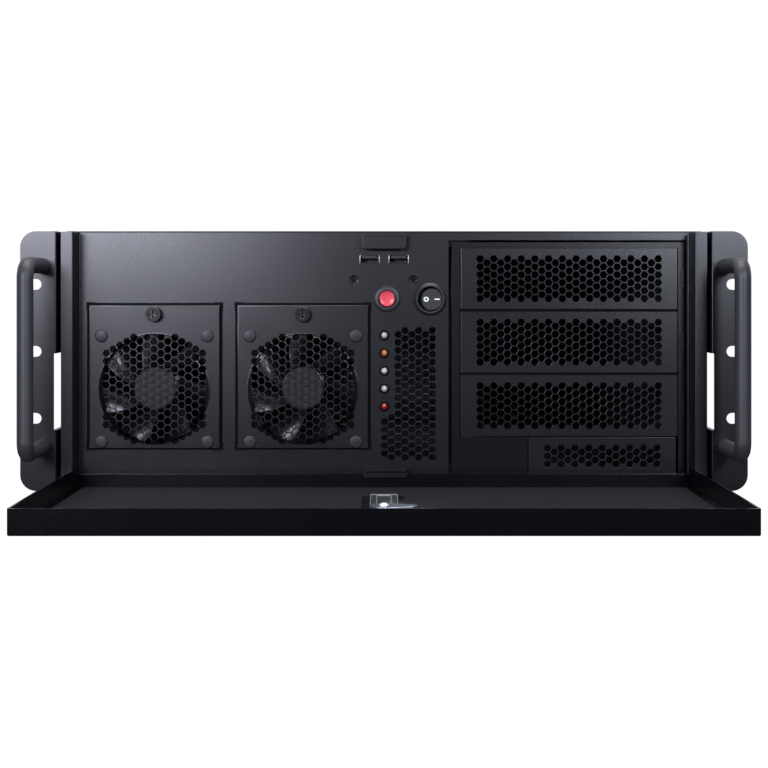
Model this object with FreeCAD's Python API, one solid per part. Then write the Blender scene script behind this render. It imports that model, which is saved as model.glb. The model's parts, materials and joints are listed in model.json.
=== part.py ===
"""An empty 4U rackmount server case with its front door open.

The case stands on z = 0 with its front facing -Y. The origin is the centre of its underside.
Sub-parts are drawn with y = 0 on the front plane of the rack ears and moved into place by save().
"""
import FreeCAD, Part
import math
import os
from FreeCAD import Vector

# Body
rack_width = 482.6
case_depth = 480.0
case_height = 173.0
ear_plate_width = 27.0
half_width = rack_width / 2 - ear_plate_width
sheet = 1.2
lid_sheet = 1.0
touch_gap = 0.3  # clearance between pieces that slide or drop into each other
fit_gap = 0.05  # running clearance of a pin or plug in its hole, on the radius

# Recess that the door closes into, and the panel at its back
strip_width = 8.1
recess_half = half_width - strip_width
strip_rise = 0.5
recess_depth = 17.5
panel_hem = 10.0

# Rack ears
ear_sheet = 2.0
ear_reach = rack_width / 2
ear_top_gap = 0.7
ear_height = case_height - ear_top_gap
ear_corner = 10.6
ear_groove = 2.9
ear_joggle_y = 24.0
ear_foot_y = 70.0
ear_joggle = 4.0
ear_window_low = 40.4
ear_window_high = 91.3
ear_window_depth = 22.0
rack_hole_inset = 8.75
rack_hole_x = ear_reach - rack_hole_inset
rack_hole_drop = 79.7
rack_hole_middle = ear_height - rack_hole_drop
rack_hole_pitch = 44.45
rack_slot_length = 10.8
rack_slot_width = 7.2

# Handles
handle_bar = 10.4
handle_inset = 14.3
handle_x = ear_reach - handle_inset
handle_drop = 3.45
handle_middle = rack_hole_middle - handle_drop
handle_end_room = 51.8
handle_span = ear_height - handle_end_room
handle_reach = 42.0
handle_bend = 13.0

# Door, drawn open and level
door_side_gap = 1.2
door_top_gap = 3.0
door_length = case_height - door_top_gap
door_rim = 15.1
door_rear_rim = 10.4
door_floor_z = 0.3
door_rear_y = 6.0
door_rear_cut = 7.0
hinge_y = 4.0
hinge_z = 4.0
hinge_pin = 3.0
hinge_pin_length = 4.5
screen_sheet = 0.3
screen_margin = 3.2
screen_notch_left = -14.0
screen_notch_right = 13.0
screen_notch_y = -32.0
vent_side_room = 30.2
vent_width = recess_half - vent_side_room
vent_height = 8.0
vent_pitch = 30.0
vent_rows = 3
vent_first_y = -45.0
window_width = 9.0
window_length = 62.0
lens_margin = 4.2
lens_thick = 1.5

# Cam lock in the door
lock_inset = 24.0
lock_y = door_rear_y - door_length + lock_inset
barrel_d = 16.0
barrel_top = 11.5
plug_d = 11.0
cam_low = 11.8
cam_sheet = 1.5
cam_reach = 19.0
cam_end = 8.4
cam_tip = 4.5
cam_nut_flats = 7.6
cam_nut_height = 2.0
ring_nut_flats = 21.0
ring_nut_height = 3.0

# Hooks that hold the door shut and stop it level
hook_width = 30.0
hook_lip_y = 9.8
hook_drop = 2.8
hook_rise = 9.6
hook_top = case_height - hook_drop
hook_low = hook_top - hook_rise
hook_chamfer = 3.0
stop_left = -13.3
stop_right = 15.2
stop_top = 12.5
stop_low = 8.3
stop_gap = 0.2

# Heights of the centre column, all hung from the top of the case
usb_drop = 18.9
usb_z = case_height - usb_drop
io_screw_drop = 14.1
io_screw_z = usb_z - io_screw_drop
reset_drop = 26.8
reset_z = usb_z - reset_drop
power_drop = 0.3
power_z = reset_z - power_drop

# Fan modules: two side by side in the room left of the centre column
fan_room_right = 8.95
fan_room_left = 5.5
fan_room_between = 8.55
cover_slot = 1.5
cover_width = (recess_half - fan_room_right - fan_room_left - fan_room_between) / 2 - 2 * cover_slot
cover_side = 4.3
fan_size = cover_width - 2 * cover_side
cover_head_room = 16.3
cover_drop = 17.0
cover_high = io_screw_z - cover_drop
cover_low = cover_high - fan_size - cover_head_room
fan_drop = 0.2
fan_z = cover_low + fan_size / 2 - fan_drop
fan_x = (
    -recess_half + fan_room_left + cover_slot + cover_width / 2,
    -fan_room_right - cover_slot - cover_width / 2,
)
fan_depth = 25.0
fan_wall = 2.0
fan_bore = fan_size - 2 * fan_wall
fan_hole_inset = 4.25
fan_hole_pitch = fan_size - 2 * fan_hole_inset
fan_hub = 30.0
fan_blades = 7
fan_tip_gap = 1.2
fan_blade_pitch = 50.0
fan_blade_sheet = 1.4
fan_base = 32.0
fan_base_sheet = 2.5
fan_strut = 3.0
cover_proud = 1.9
dome_rise = 2.0
dome_taper = 4.0
dome_outer = fan_bore
dome_inner = dome_outer - 2 * dome_taper
rivet_d = 8.6
rivet_height = 1.6
bracket_side = 3.7
bracket_width = cover_width + 2 * bracket_side
bracket_lap = 4.0
thumb_drop = 6.0
thumb_z = cover_high - thumb_drop
thumb_d = 10.3
thumb_height = 5.8

# Honeycomb openings, drawn at about twice the real pitch
comb_pitch = 12.5
comb_web = 1.8
small_comb_pitch = 11.0

# Centre column of the panel
usb_x = (-9.7, 9.9)
usb_width = 13.5
usb_height = 5.6
usb_wall = 0.4
usb_depth = 14.0
usb_proud = 0.3
usb_tongue_height = 1.7
io_screw_x = (-20.3, 19.9)
io_screw_d = 6.5
io_bracket_drop = 3.5
io_bracket_low = io_screw_z - io_bracket_drop
io_bracket_half = 27.0
io_board_depth = 26.0
io_board_sheet = 1.6
reset_x = 2.1
reset_bezel_d = 18.1
reset_bezel_rise = 1.6
reset_body_d = 15.6
reset_body_depth = 14.0
reset_cap_d = 11.7
reset_cap_face = 10.1
reset_cap_front = 13.9
reset_travel = 2.5
power_x = 31.2
power_ring_d = 22.5
power_ring_rise = 2.2
power_body_d = 19.5
power_body_depth = 16.0
power_bore_d = 17.0
power_pivot_y = 18.6
power_tilt = 10.0
power_cap_half = 3.0
power_cap_dip = 1.2
power_side_gap = 0.6
led_x = 0.2
led_drop = 24.7
led_pitch = 12.0
led_z = [reset_z - led_drop - i * led_pitch for i in range(5)]
led_d = 5.0
led_rise = 2.0
holder_d = 7.0
holder_rise = 1.0
grille_left = 6.0
grille_right = 41.0
grille_low = 18.0
grille_drop = 19.3
grille_high = reset_z - grille_drop
grille_foot_rows = 2
grille_foot_z = 25.0

# Drive bays
bay_left = 44.1
bay_side = 10.5
bay_right = half_width - bay_side
bay_low = 6.5
bay_drop = 7.1
bay_high = case_height - bay_drop
cage_left = 50.2
cage_inset = 3.6
cage_right = bay_right - cage_inset
cage_sheet = 1.0
cage_depth = 171.0
cage_flange_left = 45.9
cage_flange_inset = 0.4
cage_flange_right = bay_right - cage_flange_inset
cage_top_gap = 0.4
drive_cover_left = 51.5
drive_cover_inset = 4.9
drive_cover_right = bay_right - drive_cover_inset
drive_cover_drop = 4.5
drive_cover_top = bay_high - drive_cover_drop
drive_cover_gap = 1.95
small_cover_high = 33.6
small_cover_gap = 0.9
drive_cover_pitch = (drive_cover_top - small_cover_high - small_cover_gap + drive_cover_gap) / 3
drive_cover_height = drive_cover_pitch - drive_cover_gap
drive_cover_return = 12.0
drive_cover_margin = 10.0
small_cover_margin = 8.0
small_cover_left = 97.5
small_cover_inset = 6.0
small_cover_right = bay_right - small_cover_inset
small_cover_low = 8.2
clip_width = 2.6
clip_height = 12.0
clip_rise = 0.8

# Rear wall
slot_count = 7
slot_pitch = 20.32
slot_side = 18.3
slot_first_x = slot_side - half_width
slot_low = 22.0
slot_drop = 43.0
slot_height = case_height - slot_drop - slot_low
slot_width = 14.0
io_gap = 29.08
io_left = slot_first_x + (slot_count - 1) * slot_pitch + io_gap
io_width = 158.75
io_low = 20.0
io_height = 44.45
shield_lap = 1.5
shield_sheet = 0.6
psu_gap = 18.08
psu_left = slot_first_x + (slot_count - 1) * slot_pitch + psu_gap
psu_width = 142.0
psu_low = 93.0
psu_drop = 8.0
psu_height = case_height - psu_drop - psu_low
slot_lap = 2.2
slot_tab = 11.0

# Lid, board posts and small screws
lid_flange = 12.0
lid_setback = 6.0
lid_screw_front = 95.0
lid_screw_rear = 60.0
lid_screw_y = (lid_screw_front, case_depth - lid_screw_rear)
lid_screw_d = 6.0
lid_screw_height = 1.4
lid_screw_drop = 7.0
ear_screw_y = 56.0
ear_screw_margin = 30.0
ear_screw_z = (ear_screw_margin, ear_height / 2, ear_height - ear_screw_margin)
ear_screw_d = 7.0
ear_screw_height = 2.0
handle_screw_flats = 7.0
handle_screw_height = 3.5
slot_screw_flats = 6.0
slot_screw_height = 2.0
post_flats = 5.0
post_height = 6.5
post_x = (-150.0, -5.0, 130.0)
post_margin = 20.0
post_y = (case_depth / 2, case_depth - post_margin)

# Facets round a turned piece, kept low so that the whole case stays a light mesh
head_sides = 8
button_sides = 14
fan_sides = 24
bar_sides = 12
bend_steps = 3

wall_inner = half_width - sheet
lid_under = case_height - lid_sheet
panel_back = recess_depth + sheet
rear_y = case_depth
cover_front = recess_depth - cover_proud
cover_back = cover_front + sheet


def save(name, shape):
    """Moves a sub-part from the ear plane into the case's own frame and writes it."""
    shape = shape.copy()
    shape.translate(Vector(0, -case_depth / 2, 0))
    shape.exportStep(f"parts/{name}.step")


def box(x0, x1, y0, y1, z0, z1):
    return Part.makeBox(x1 - x0, y1 - y0, z1 - z0, Vector(x0, y0, z0))


def fused(first, *others):
    return first.multiFuse(list(others)).removeSplitter() if others else first


def mirrored(shape):
    """The same piece on the other side of the case."""
    return shape.mirror(Vector(0, 0, 0), Vector(1, 0, 0))


def closed(points):
    return Part.makePolygon([*points, points[0]])


def prism(points, direction):
    return Part.Face(closed(points)).extrude(direction)


def ngon(x, z, y, radius, sides, turn=0.0):
    """A closed regular outline in the plane of the panel."""
    angles = [math.radians(turn) + 2 * math.pi * i / sides for i in range(sides)]
    return closed([Vector(x + radius * math.cos(a), y, z + radius * math.sin(a)) for a in angles])


def drum(x, z, y0, y1, diameter, sides=button_sides):
    """A turned piece along Y, drawn with a few flat sides."""
    return Part.Face(ngon(x, z, y0, diameter / 2, sides)).extrude(Vector(0, y1 - y0, 0))


def head(x, z, y0, y1, diameter):
    """A small screw, lamp or rivet head along Y."""
    return drum(x, z, y0, y1, diameter, head_sides)


def frustum(low, high):
    """A solid with flat sides between two outlines that have as many corners."""
    a = [edge.Vertexes[0].Point for edge in low.Edges]
    b = [edge.Vertexes[0].Point for edge in high.Edges]
    sides = [Part.Face(closed([a[i - 1], a[i], b[i], b[i - 1]])) for i in range(len(a))]
    return Part.Solid(Part.Shell([Part.Face(low), Part.Face(high), *sides]))


def post(x, y, z0, z1, diameter, sides=button_sides, turn=0.0):
    """A turned or hexagonal piece standing along Z, measured over its corners."""
    angles = [math.radians(turn) + 2 * math.pi * i / sides for i in range(sides)]
    ring = [Vector(x + diameter / 2 * math.cos(a), y + diameter / 2 * math.sin(a), z0) for a in angles]
    return prism(ring, Vector(0, 0, z1 - z0))


def around(diameter, gap, sides=button_sides):
    """Size over the corners of a flat-sided bore that clears a turned piece by a gap."""
    return (diameter + 2 * gap) / math.cos(math.pi / sides)


def hex_corners(flats):
    return flats * 2 / math.sqrt(3)


def side_head(x0, x1, y, z, diameter, sides=head_sides):
    """A small screw head or hole along X."""
    angles = [2 * math.pi * i / sides for i in range(sides)]
    ring = [Vector(x0, y + diameter / 2 * math.cos(a), z + diameter / 2 * math.sin(a)) for a in angles]
    return prism(ring, Vector(x1 - x0, 0, 0))


def rectangle(x0, x1, z0, z1, y):
    return closed([Vector(x0, y, z0), Vector(x1, y, z0), Vector(x1, y, z1), Vector(x0, y, z1)])


def obround(x, z, y, length, width):
    """A slot outline, long along X."""
    run = (length - width) / 2
    r = width / 2
    top = Part.LineSegment(Vector(x - run, y, z + r), Vector(x + run, y, z + r))
    right = Part.Arc(Vector(x + run, y, z + r), Vector(x + run + r, y, z), Vector(x + run, y, z - r))
    low = Part.LineSegment(Vector(x + run, y, z - r), Vector(x - run, y, z - r))
    left = Part.Arc(Vector(x - run, y, z - r), Vector(x - run - r, y, z), Vector(x - run, y, z + r))
    return Part.Wire([edge.toShape() for edge in (top, right, low, left)])


def pierced(outline, holes, thickness):
    """An upright sheet: its outline extruded back from its front face, with holes through it."""
    face = Part.makeFace([outline, *holes], "Part::FaceMakerBullseye")
    return face.extrude(Vector(0, thickness, 0))


def hexagon(x, z, y, pitch=comb_pitch):
    return ngon(x, z, y, (pitch - comb_web) / math.sqrt(3), 6)


def comb_field(x0, x1, z0, z1, y, pitch=comb_pitch):
    """Honeycomb outlines centred in a rectangle: alternate columns have one opening less."""
    step = pitch * math.sqrt(3) / 2
    radius = (pitch - comb_web) / math.sqrt(3)
    columns = max(1, int((x1 - x0 - 2 * radius) / step) + 1)
    columns -= 1 - columns % 2
    rows = max(1, int((z1 - z0 + comb_web) / pitch))
    shorter = max(1, rows - 1)
    centre_x = (x0 + x1) / 2
    centre_z = (z0 + z1) / 2
    outlines = []
    for i in range(columns):
        x = centre_x + (i - (columns - 1) / 2) * step
        count = shorter if i % 2 else rows
        for j in range(count):
            outlines.append(hexagon(x, centre_z + (j - (count - 1) / 2) * pitch, y, pitch))
    return outlines


def comb_disc(x, z, radius, y):
    """Honeycomb outlines inside a circle, with one opening at its centre."""
    step = comb_pitch * math.sqrt(3) / 2
    reach = radius - comb_pitch / math.sqrt(3)
    half = int(radius / step) + 1
    outlines = []
    for i in range(-half, half + 1):
        for j in range(-half, half + 1):
            dx = i * step
            dz = (j + (i % 2) / 2) * comb_pitch
            if math.hypot(dx, dz) <= reach:
                outlines.append(hexagon(x + dx, z + dz, y))
    return outlines


def base_pan():
    """Floor and side walls, folded from one sheet."""
    floor = box(-half_width, half_width, recess_depth, rear_y, 0, sheet)
    pieces = []
    for side in (-1, 1):
        x = sorted((side * wall_inner, side * half_width))
        tongue = sorted((side * recess_half, side * half_width))
        pieces.append(box(*x, sheet, rear_y, 0, lid_under))
        pieces.append(box(*tongue, sheet, recess_depth, 0, sheet))
    return fused(floor, *pieces)


def rear_panel():
    """Rear wall with the openings for the power supply, board connectors and cards."""
    y = rear_y - sheet
    holes = [
        rectangle(psu_left, psu_left + psu_width, psu_low, psu_low + psu_height, y),
        rectangle(io_left, io_left + io_width, io_low, io_low + io_height, y),
    ]
    for i in range(slot_count):
        x = slot_first_x + i * slot_pitch
        holes.append(rectangle(x - slot_width / 2, x + slot_width / 2, slot_low, slot_low + slot_height, y))
    return pierced(rectangle(-wall_inner, wall_inner, sheet, lid_under, y), holes, sheet)


def io_shield():
    """Thin blank plate that closes the connector opening from inside."""
    y = rear_y - sheet
    return box(
        io_left - shield_lap,
        io_left + io_width + shield_lap,
        y - shield_sheet,
        y,
        io_low - shield_lap,
        io_low + io_height + shield_lap,
    )


def top_lid():
    """Flat lid with a flange along each side wall, inside it."""
    lid = box(-half_width, half_width, recess_depth, rear_y, lid_under, case_height)
    flanges = []
    for side in (-1, 1):
        x = sorted((side * wall_inner, side * (wall_inner - lid_sheet)))
        back = rear_y - sheet - lid_setback
        flanges.append(box(*x, panel_back + lid_setback, back, lid_under - lid_flange, lid_under))
    return fused(lid, *flanges)


def fan_opening(x, y):
    half = cover_width / 2 + cover_slot
    return rectangle(x - half, x + half, cover_low - cover_slot, cover_high + cover_slot, y)


def front_panel():
    """Panel at the back of the recess, with the recess walls and the strips beside the door."""
    y = recess_depth
    holes = [fan_opening(x, y) for x in fan_x]
    holes.append(rectangle(bay_left, bay_right, bay_low, bay_high, y))
    for x in usb_x:
        half_w = usb_width / 2 + fit_gap
        half_h = usb_height / 2 + fit_gap
        holes.append(rectangle(x - half_w, x + half_w, usb_z - half_h, usb_z + half_h, y))
    holes.append(ngon(reset_x, reset_z, y, reset_body_d / 2 + fit_gap, button_sides))
    holes.append(ngon(power_x, power_z, y, power_body_d / 2 + fit_gap, button_sides))
    holes += comb_field(grille_left, grille_right, grille_low, grille_high, y)
    foot_x = (grille_left + grille_right) / 2 - comb_pitch * math.sqrt(3)
    for row in range(grille_foot_rows):
        holes.append(hexagon(foot_x, grille_foot_z + row * comb_pitch, y))
    outer = recess_half + sheet
    panel = pierced(rectangle(-outer, outer, sheet, lid_under, y), holes, sheet)
    hem = box(-outer, outer, panel_back, panel_back + panel_hem, lid_under - sheet, lid_under)
    sides = []
    for side in (-1, 1):
        wall_x = sorted((side * recess_half, side * outer))
        strip_x = sorted((side * recess_half, side * half_width))
        wall = box(*wall_x, 0, recess_depth, sheet, lid_under)
        radius = around(hinge_pin, fit_gap) / 2
        hole = side_head(wall_x[0], wall_x[1], hinge_y, hinge_z, 2 * radius, button_sides)
        sides.append(wall.cut(hole))
        sides.append(box(*strip_x, 0, sheet, 0, case_height - strip_rise))
    return fused(panel, hem, *sides)


def ear():
    """Right rack ear: front plate, side flange with a window at its bend, and a joggled foot."""
    inner = half_width + ear_groove
    outer = inner + ear_sheet
    foot = half_width + ear_sheet
    knee = ear_joggle_y + ear_joggle
    profile = [
        Vector(outer, 0, 0),
        Vector(inner, 0, 0),
        Vector(inner, ear_joggle_y, 0),
        Vector(half_width, knee, 0),
        Vector(half_width, ear_foot_y, 0),
        Vector(foot, ear_foot_y, 0),
        Vector(foot, knee + ear_sheet / 2, 0),
        Vector(outer, ear_joggle_y + ear_sheet / 2, 0),
    ]
    flange = prism(profile, Vector(0, 0, ear_height))
    window = box(half_width, outer, -ear_sheet, ear_window_depth, ear_window_low, ear_window_high)
    outline = [Vector(outer, 0, 0)]
    r = ear_corner
    for centre_z, start in ((r, -90), (ear_height - r, 0)):
        for step in range(bend_steps + 1):
            a = math.radians(start + 90 * step / bend_steps)
            outline.append(Vector(ear_reach - r + r * math.cos(a), 0, centre_z + r * math.sin(a)))
    outline.append(Vector(outer, 0, ear_height))
    slots = [obround(rack_hole_x, z, 0, rack_slot_length, rack_slot_width) for z in rack_hole_heights()]
    plate = pierced(closed(outline), slots, ear_sheet)
    return fused(flange.cut(window), plate)


def rack_hole_heights():
    return [rack_hole_middle + k * rack_hole_pitch for k in (-1, 0, 1)]


def handle_heights():
    return [handle_middle - handle_span / 2, handle_middle + handle_span / 2]


def handle():
    """Right handle: one round bar bent twice, its ends flat on the ear."""
    low, high = handle_heights()
    r = handle_bend
    path = [Vector(handle_x, 0, low)]
    for centre_z, start in ((low + r, 270), (high - r, 180)):
        for step in range(bend_steps + 1):
            a = math.radians(start - 90 * step / bend_steps)
            path.append(Vector(handle_x, -handle_reach + r + r * math.cos(a), centre_z + r * math.sin(a)))
    path.append(Vector(handle_x, 0, high))
    section = ngon(handle_x, low, 0, handle_bar / 2, bar_sides)
    return Part.makePolygon(path).makePipeShell([section], True, False, 1)


def ear_fasteners():
    """Screws that hold the ears to the side walls, and the handles to the ears from behind."""
    side = []
    back = []
    foot = half_width + ear_sheet
    for z in ear_screw_z:
        side.append(side_head(foot, foot + ear_screw_height, ear_screw_y, z, ear_screw_d))
    for z in handle_heights():
        back.append(
            drum(handle_x, z, ear_sheet, ear_sheet + handle_screw_height, hex_corners(handle_screw_flats), 6)
        )
    save("ear_screws", Part.makeCompound(side + [mirrored(s) for s in side]))
    save("handle_screws", Part.makeCompound(back + [mirrored(s) for s in back]))


def hooks():
    """The keeper that the lock's cam turns behind, and the stop that holds the door level."""
    half = hook_width / 2
    c = hook_chamfer
    y = hook_lip_y
    lip = [
        Vector(-half, y, hook_top),
        Vector(-half, y, hook_low + c),
        Vector(-half + c, y, hook_low),
        Vector(half - c, y, hook_low),
        Vector(half, y, hook_low + c),
        Vector(half, y, hook_top),
    ]
    top = box(-half, half, y, recess_depth, hook_top - sheet, hook_top)
    save("keeper_hook", fused(prism(lip, Vector(0, sheet, 0)), top))
    lip_back = door_rear_y - sheet - stop_gap
    shelf = box(stop_left, stop_right, lip_back - sheet, recess_depth, stop_top - sheet, stop_top)
    tab = box(stop_left, stop_right, lip_back - sheet, lip_back, stop_low, stop_top)
    save("door_stop_hook", fused(shelf, tab))


def door():
    """The door tray, its filter screen, the lens over its lamp window, and its hinge pins."""
    half = recess_half - door_side_gap
    front = door_rear_y - door_length
    low = door_floor_z
    floor_top = low + sheet
    floor = box(-half, half, front, door_rear_y, low, floor_top)
    rims = [box(-half, half, front, front + sheet, low, low + door_rim)]
    for side in (-1, 1):
        x = sorted((side * half, side * (half - sheet)))
        rims.append(box(*x, front, door_rear_y, low, low + door_rim))
    rear_half = half - door_rear_cut
    rims.append(box(-rear_half, rear_half, door_rear_y - sheet, door_rear_y, low, low + door_rear_rim))
    tray = fused(floor, *rims)
    cuts = [post(0, lock_y, low, floor_top, barrel_d)]
    window_front = window_rear_y() - window_length
    half_window = window_width / 2
    cuts.append(box(-half_window, half_window, window_front, window_rear_y(), low, floor_top))
    vent_inner = -screen_notch_left + vent_height
    for side in (-1, 1):
        x = sorted((side * vent_inner, side * (vent_inner + vent_width)))
        for row in range(vent_rows):
            y = vent_first_y - row * vent_pitch
            cuts.append(box(*x, y - vent_height, y, low, floor_top))
    save("door_tray", tray.cut(Part.makeCompound(cuts)))

    side = half - sheet - screen_margin
    back = door_rear_y - sheet - touch_gap
    nose = front + sheet + touch_gap
    notch = screen_notch_y
    screen = [
        Vector(-side, nose, floor_top),
        Vector(screen_notch_left, nose, floor_top),
        Vector(screen_notch_left, notch, floor_top),
        Vector(screen_notch_right, notch, floor_top),
        Vector(screen_notch_right, nose, floor_top),
        Vector(side, nose, floor_top),
        Vector(side, back, floor_top),
        Vector(-side, back, floor_top),
    ]
    save("door_screen", prism(screen, Vector(0, 0, screen_sheet)))

    outer = half_window + lens_margin
    lens_front = window_front - lens_margin
    lens_rear = window_rear_y() + lens_margin
    lens = box(-outer, outer, lens_front, lens_rear, floor_top, floor_top + lens_thick)
    plug = box(
        -half_window + touch_gap,
        half_window - touch_gap,
        window_front + touch_gap,
        window_rear_y() - touch_gap,
        low,
        floor_top,
    )
    save("lamp_window_lens", fused(lens, plug))

    pin = Part.makeCylinder(hinge_pin / 2, hinge_pin_length, Vector(half, hinge_y, hinge_z), Vector(1, 0, 0))
    save("hinge_pins", Part.makeCompound([pin, mirrored(pin)]))


def window_rear_y():
    return screen_notch_y - touch_gap - lens_margin


def lock():
    """Cam lock: barrel and ring nut fixed in the door, plug, cam and cam nut turning in it."""
    low = door_floor_z
    barrel = post(0, lock_y, low, barrel_top, barrel_d)
    save("lock_barrel", barrel.cut(post(0, lock_y, low, barrel_top, around(plug_d, fit_gap))))
    nut_low = low + sheet
    nut_top = nut_low + ring_nut_height
    nut = post(0, lock_y, nut_low, nut_top, hex_corners(ring_nut_flats), 6, 30)
    save("lock_ring_nut", nut.cut(post(0, lock_y, nut_low, nut_top, barrel_d)))
    save("lock_plug", Part.makeCylinder(plug_d / 2, cam_low - low, Vector(0, lock_y, low)))
    arm = []
    for centre_x, radius, start in ((cam_reach - cam_tip, cam_tip, -90), (0, cam_end, 90)):
        for step in range(2 * bend_steps + 1):
            a = math.radians(start + 90 * step / bend_steps)
            arm.append(Vector(centre_x + radius * math.cos(a), lock_y + radius * math.sin(a), cam_low))
    save("lock_cam", prism(arm, Vector(0, 0, cam_sheet)))
    top = cam_low + cam_sheet
    save("lock_nut", post(0, lock_y, top, top + cam_nut_height, hex_corners(cam_nut_flats), 6, 30))


def fan_cover(x):
    """Module cover: sheet with a raised round honeycomb and returns along its sides and top."""
    half = cover_width / 2
    y = cover_front
    foot = ngon(x, fan_z, y, dome_outer / 2, fan_sides)
    plate = pierced(rectangle(x - half, x + half, cover_low, cover_high, y), [foot], sheet)
    base = drum(x, fan_z, y, y + sheet, dome_outer, fan_sides)
    dome = taper(x, y).fuse(base).cut(taper(x, y + sheet))
    holes = [
        Part.Face(outline).extrude(Vector(0, 2 * sheet, 0))
        for outline in comb_disc(x, fan_z, dome_inner / 2, y - dome_rise)
    ]
    returns = [box(x - half, x + half, cover_back, panel_back, cover_high - sheet, cover_high)]
    for side in (-1, 1):
        edge = sorted((x + side * half, x + side * (half - sheet)))
        returns.append(box(*edge, cover_back, panel_back, cover_low, cover_high))
    return fused(plate, dome.cut(Part.makeCompound(holes)), *returns)


def taper(x, y):
    """The raised round of a module cover as a solid whose foot lies at y."""
    foot = ngon(x, fan_z, y, dome_outer / 2, fan_sides)
    flat = ngon(x, fan_z, y - dome_rise, dome_inner / 2, fan_sides)
    return frustum(foot, flat)


def fan_bracket(x):
    """Plate behind the panel that the module cover is screwed to, open for the fan."""
    half = bracket_width / 2
    hole = fan_size / 2 + touch_gap
    y = panel_back
    low = cover_low - cover_slot - bracket_lap
    high = cover_high + cover_slot + bracket_lap - touch_gap
    opening = rectangle(x - hole, x + hole, fan_z - hole, fan_z + hole, y)
    return pierced(rectangle(x - half, x + half, low, high, y), [opening], sheet)


def fan_frame(x):
    """Square fan housing with a motor base on four struts at its back."""
    half = fan_size / 2
    y = cover_back
    bore = ngon(x, fan_z, y, fan_bore / 2, fan_sides)
    ring = pierced(rectangle(x - half, x + half, fan_z - half, fan_z + half, y), [bore], fan_depth)
    back = y + fan_depth
    base_y = back - fan_base_sheet
    parts = [drum(x, fan_z, base_y, back, fan_base)]
    run = fan_bore / 2 + 1
    bar = box(-run, run, base_y, back, -fan_strut / 2, fan_strut / 2)
    for turn in (45, 135):
        strut = bar.copy()
        strut.rotate(Vector(0, 0, 0), Vector(0, 1, 0), turn)
        strut.translate(Vector(x, 0, fan_z))
        parts.append(strut)
    return fused(ring, *parts)


def fan_rotor(x):
    """Hub and seven pitched blades."""
    front = cover_back + 2 * sheet
    back = cover_back + fan_depth - fan_base_sheet - touch_gap
    tip = fan_bore / 2 - fan_tip_gap
    root = fan_hub / 2 - 1
    pitch = math.radians(fan_blade_pitch)
    chord = (back - front - sheet) / math.cos(pitch)
    reach = math.sqrt(tip**2 - (chord / 2 * math.sin(pitch) + sheet) ** 2)
    hub = drum(x, fan_z, front, back, fan_hub, 3 * fan_blades)
    blades = []
    for i in range(fan_blades):
        corner = Vector(root, -chord / 2, -fan_blade_sheet / 2)
        blade = Part.makeBox(reach - root, chord, fan_blade_sheet, corner)
        blade.rotate(Vector(0, 0, 0), Vector(1, 0, 0), fan_blade_pitch)
        blade.rotate(Vector(0, 0, 0), Vector(0, 1, 0), 360 * i / fan_blades)
        blade.translate(Vector(x, (front + back) / 2, fan_z))
        blades.append(blade)
    return fused(hub, *blades)


def fan_modules():
    rivets = []
    half = fan_hole_pitch / 2
    for name, x in zip(("left", "right"), fan_x):
        save(f"fan_cover_{name}", fan_cover(x))
        save(f"fan_bracket_{name}", fan_bracket(x))
        save(f"fan_frame_{name}", fan_frame(x))
        save(f"fan_rotor_{name}", fan_rotor(x))
        save(f"thumbscrew_{name}", drum(x, thumb_z, cover_front - thumb_height, cover_front, thumb_d))
        for dx in (-half, half):
            for dz in (-half, half):
                rivets.append(head(x + dx, fan_z + dz, cover_front - rivet_height, cover_front, rivet_d))
    save("fan_rivets", Part.makeCompound(rivets))


def usb_ports():
    """Port shells, their inserts, the small board under them and its bracket."""
    y = recess_depth - usb_proud
    shells = []
    inserts = []
    half_w = usb_width / 2
    half_h = usb_height / 2
    for x in usb_x:
        outer = rectangle(x - half_w, x + half_w, usb_z - half_h, usb_z + half_h, y)
        in_w = half_w - usb_wall
        in_h = half_h - usb_wall
        inner = rectangle(x - in_w, x + in_w, usb_z - in_h, usb_z + in_h, y)
        shells.append(pierced(outer, [inner], usb_depth))
        back = y + usb_depth
        plug = box(x - in_w, x + in_w, back - 2 * sheet, back, usb_z - in_h, usb_z + in_h)
        tongue_low = usb_z + half_h / 2 - usb_tongue_height / 2
        tongue_top = tongue_low + usb_tongue_height
        tongue = box(x - in_w + sheet, x + in_w - sheet, y + sheet, back - 2 * sheet, tongue_low, tongue_top)
        inserts.append(fused(plug, tongue))
    save("usb_shells", Part.makeCompound(shells))
    save("usb_inserts", Part.makeCompound(inserts))
    board_top = usb_z - half_h
    board_low = board_top - io_board_sheet
    half = io_bracket_half
    board_back = panel_back + io_board_depth
    save("front_port_board", box(-half, half, panel_back + sheet, board_back, board_low, board_top))
    web = box(-half, half, panel_back, panel_back + sheet, io_bracket_low, board_low)
    shelf = box(-half, half, panel_back, board_back, board_low - sheet, board_low)
    save("port_bracket", fused(web, shelf))
    screws = [head(x, io_screw_z, recess_depth - touch_gap, recess_depth, io_screw_d) for x in io_screw_x]
    save("port_screws", Part.makeCompound(screws))


def reset_button():
    """Push button: fixed bezel and body, and a cap that slides in it."""
    x = reset_x
    z = reset_z
    flange = drum(x, z, recess_depth - reset_bezel_rise, recess_depth, reset_bezel_d)
    body_end = recess_depth + reset_body_depth
    body = drum(x, z, recess_depth, body_end, reset_body_d)
    bore = drum(x, z, 0, body_end - sheet, reset_cap_d + 2 * fit_gap)
    save("reset_bezel", fused(flange, body).cut(bore))
    rim_y = reset_cap_front + (reset_cap_d - reset_cap_face) / 2
    cap_back = body_end - sheet - reset_travel - touch_gap
    face = ngon(x, z, reset_cap_front, reset_cap_face / 2, button_sides)
    rim = ngon(x, z, rim_y, reset_cap_d / 2, button_sides)
    nose = frustum(face, rim)
    save("reset_button", fused(nose, drum(x, z, rim_y, cap_back, reset_cap_d)))


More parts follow.
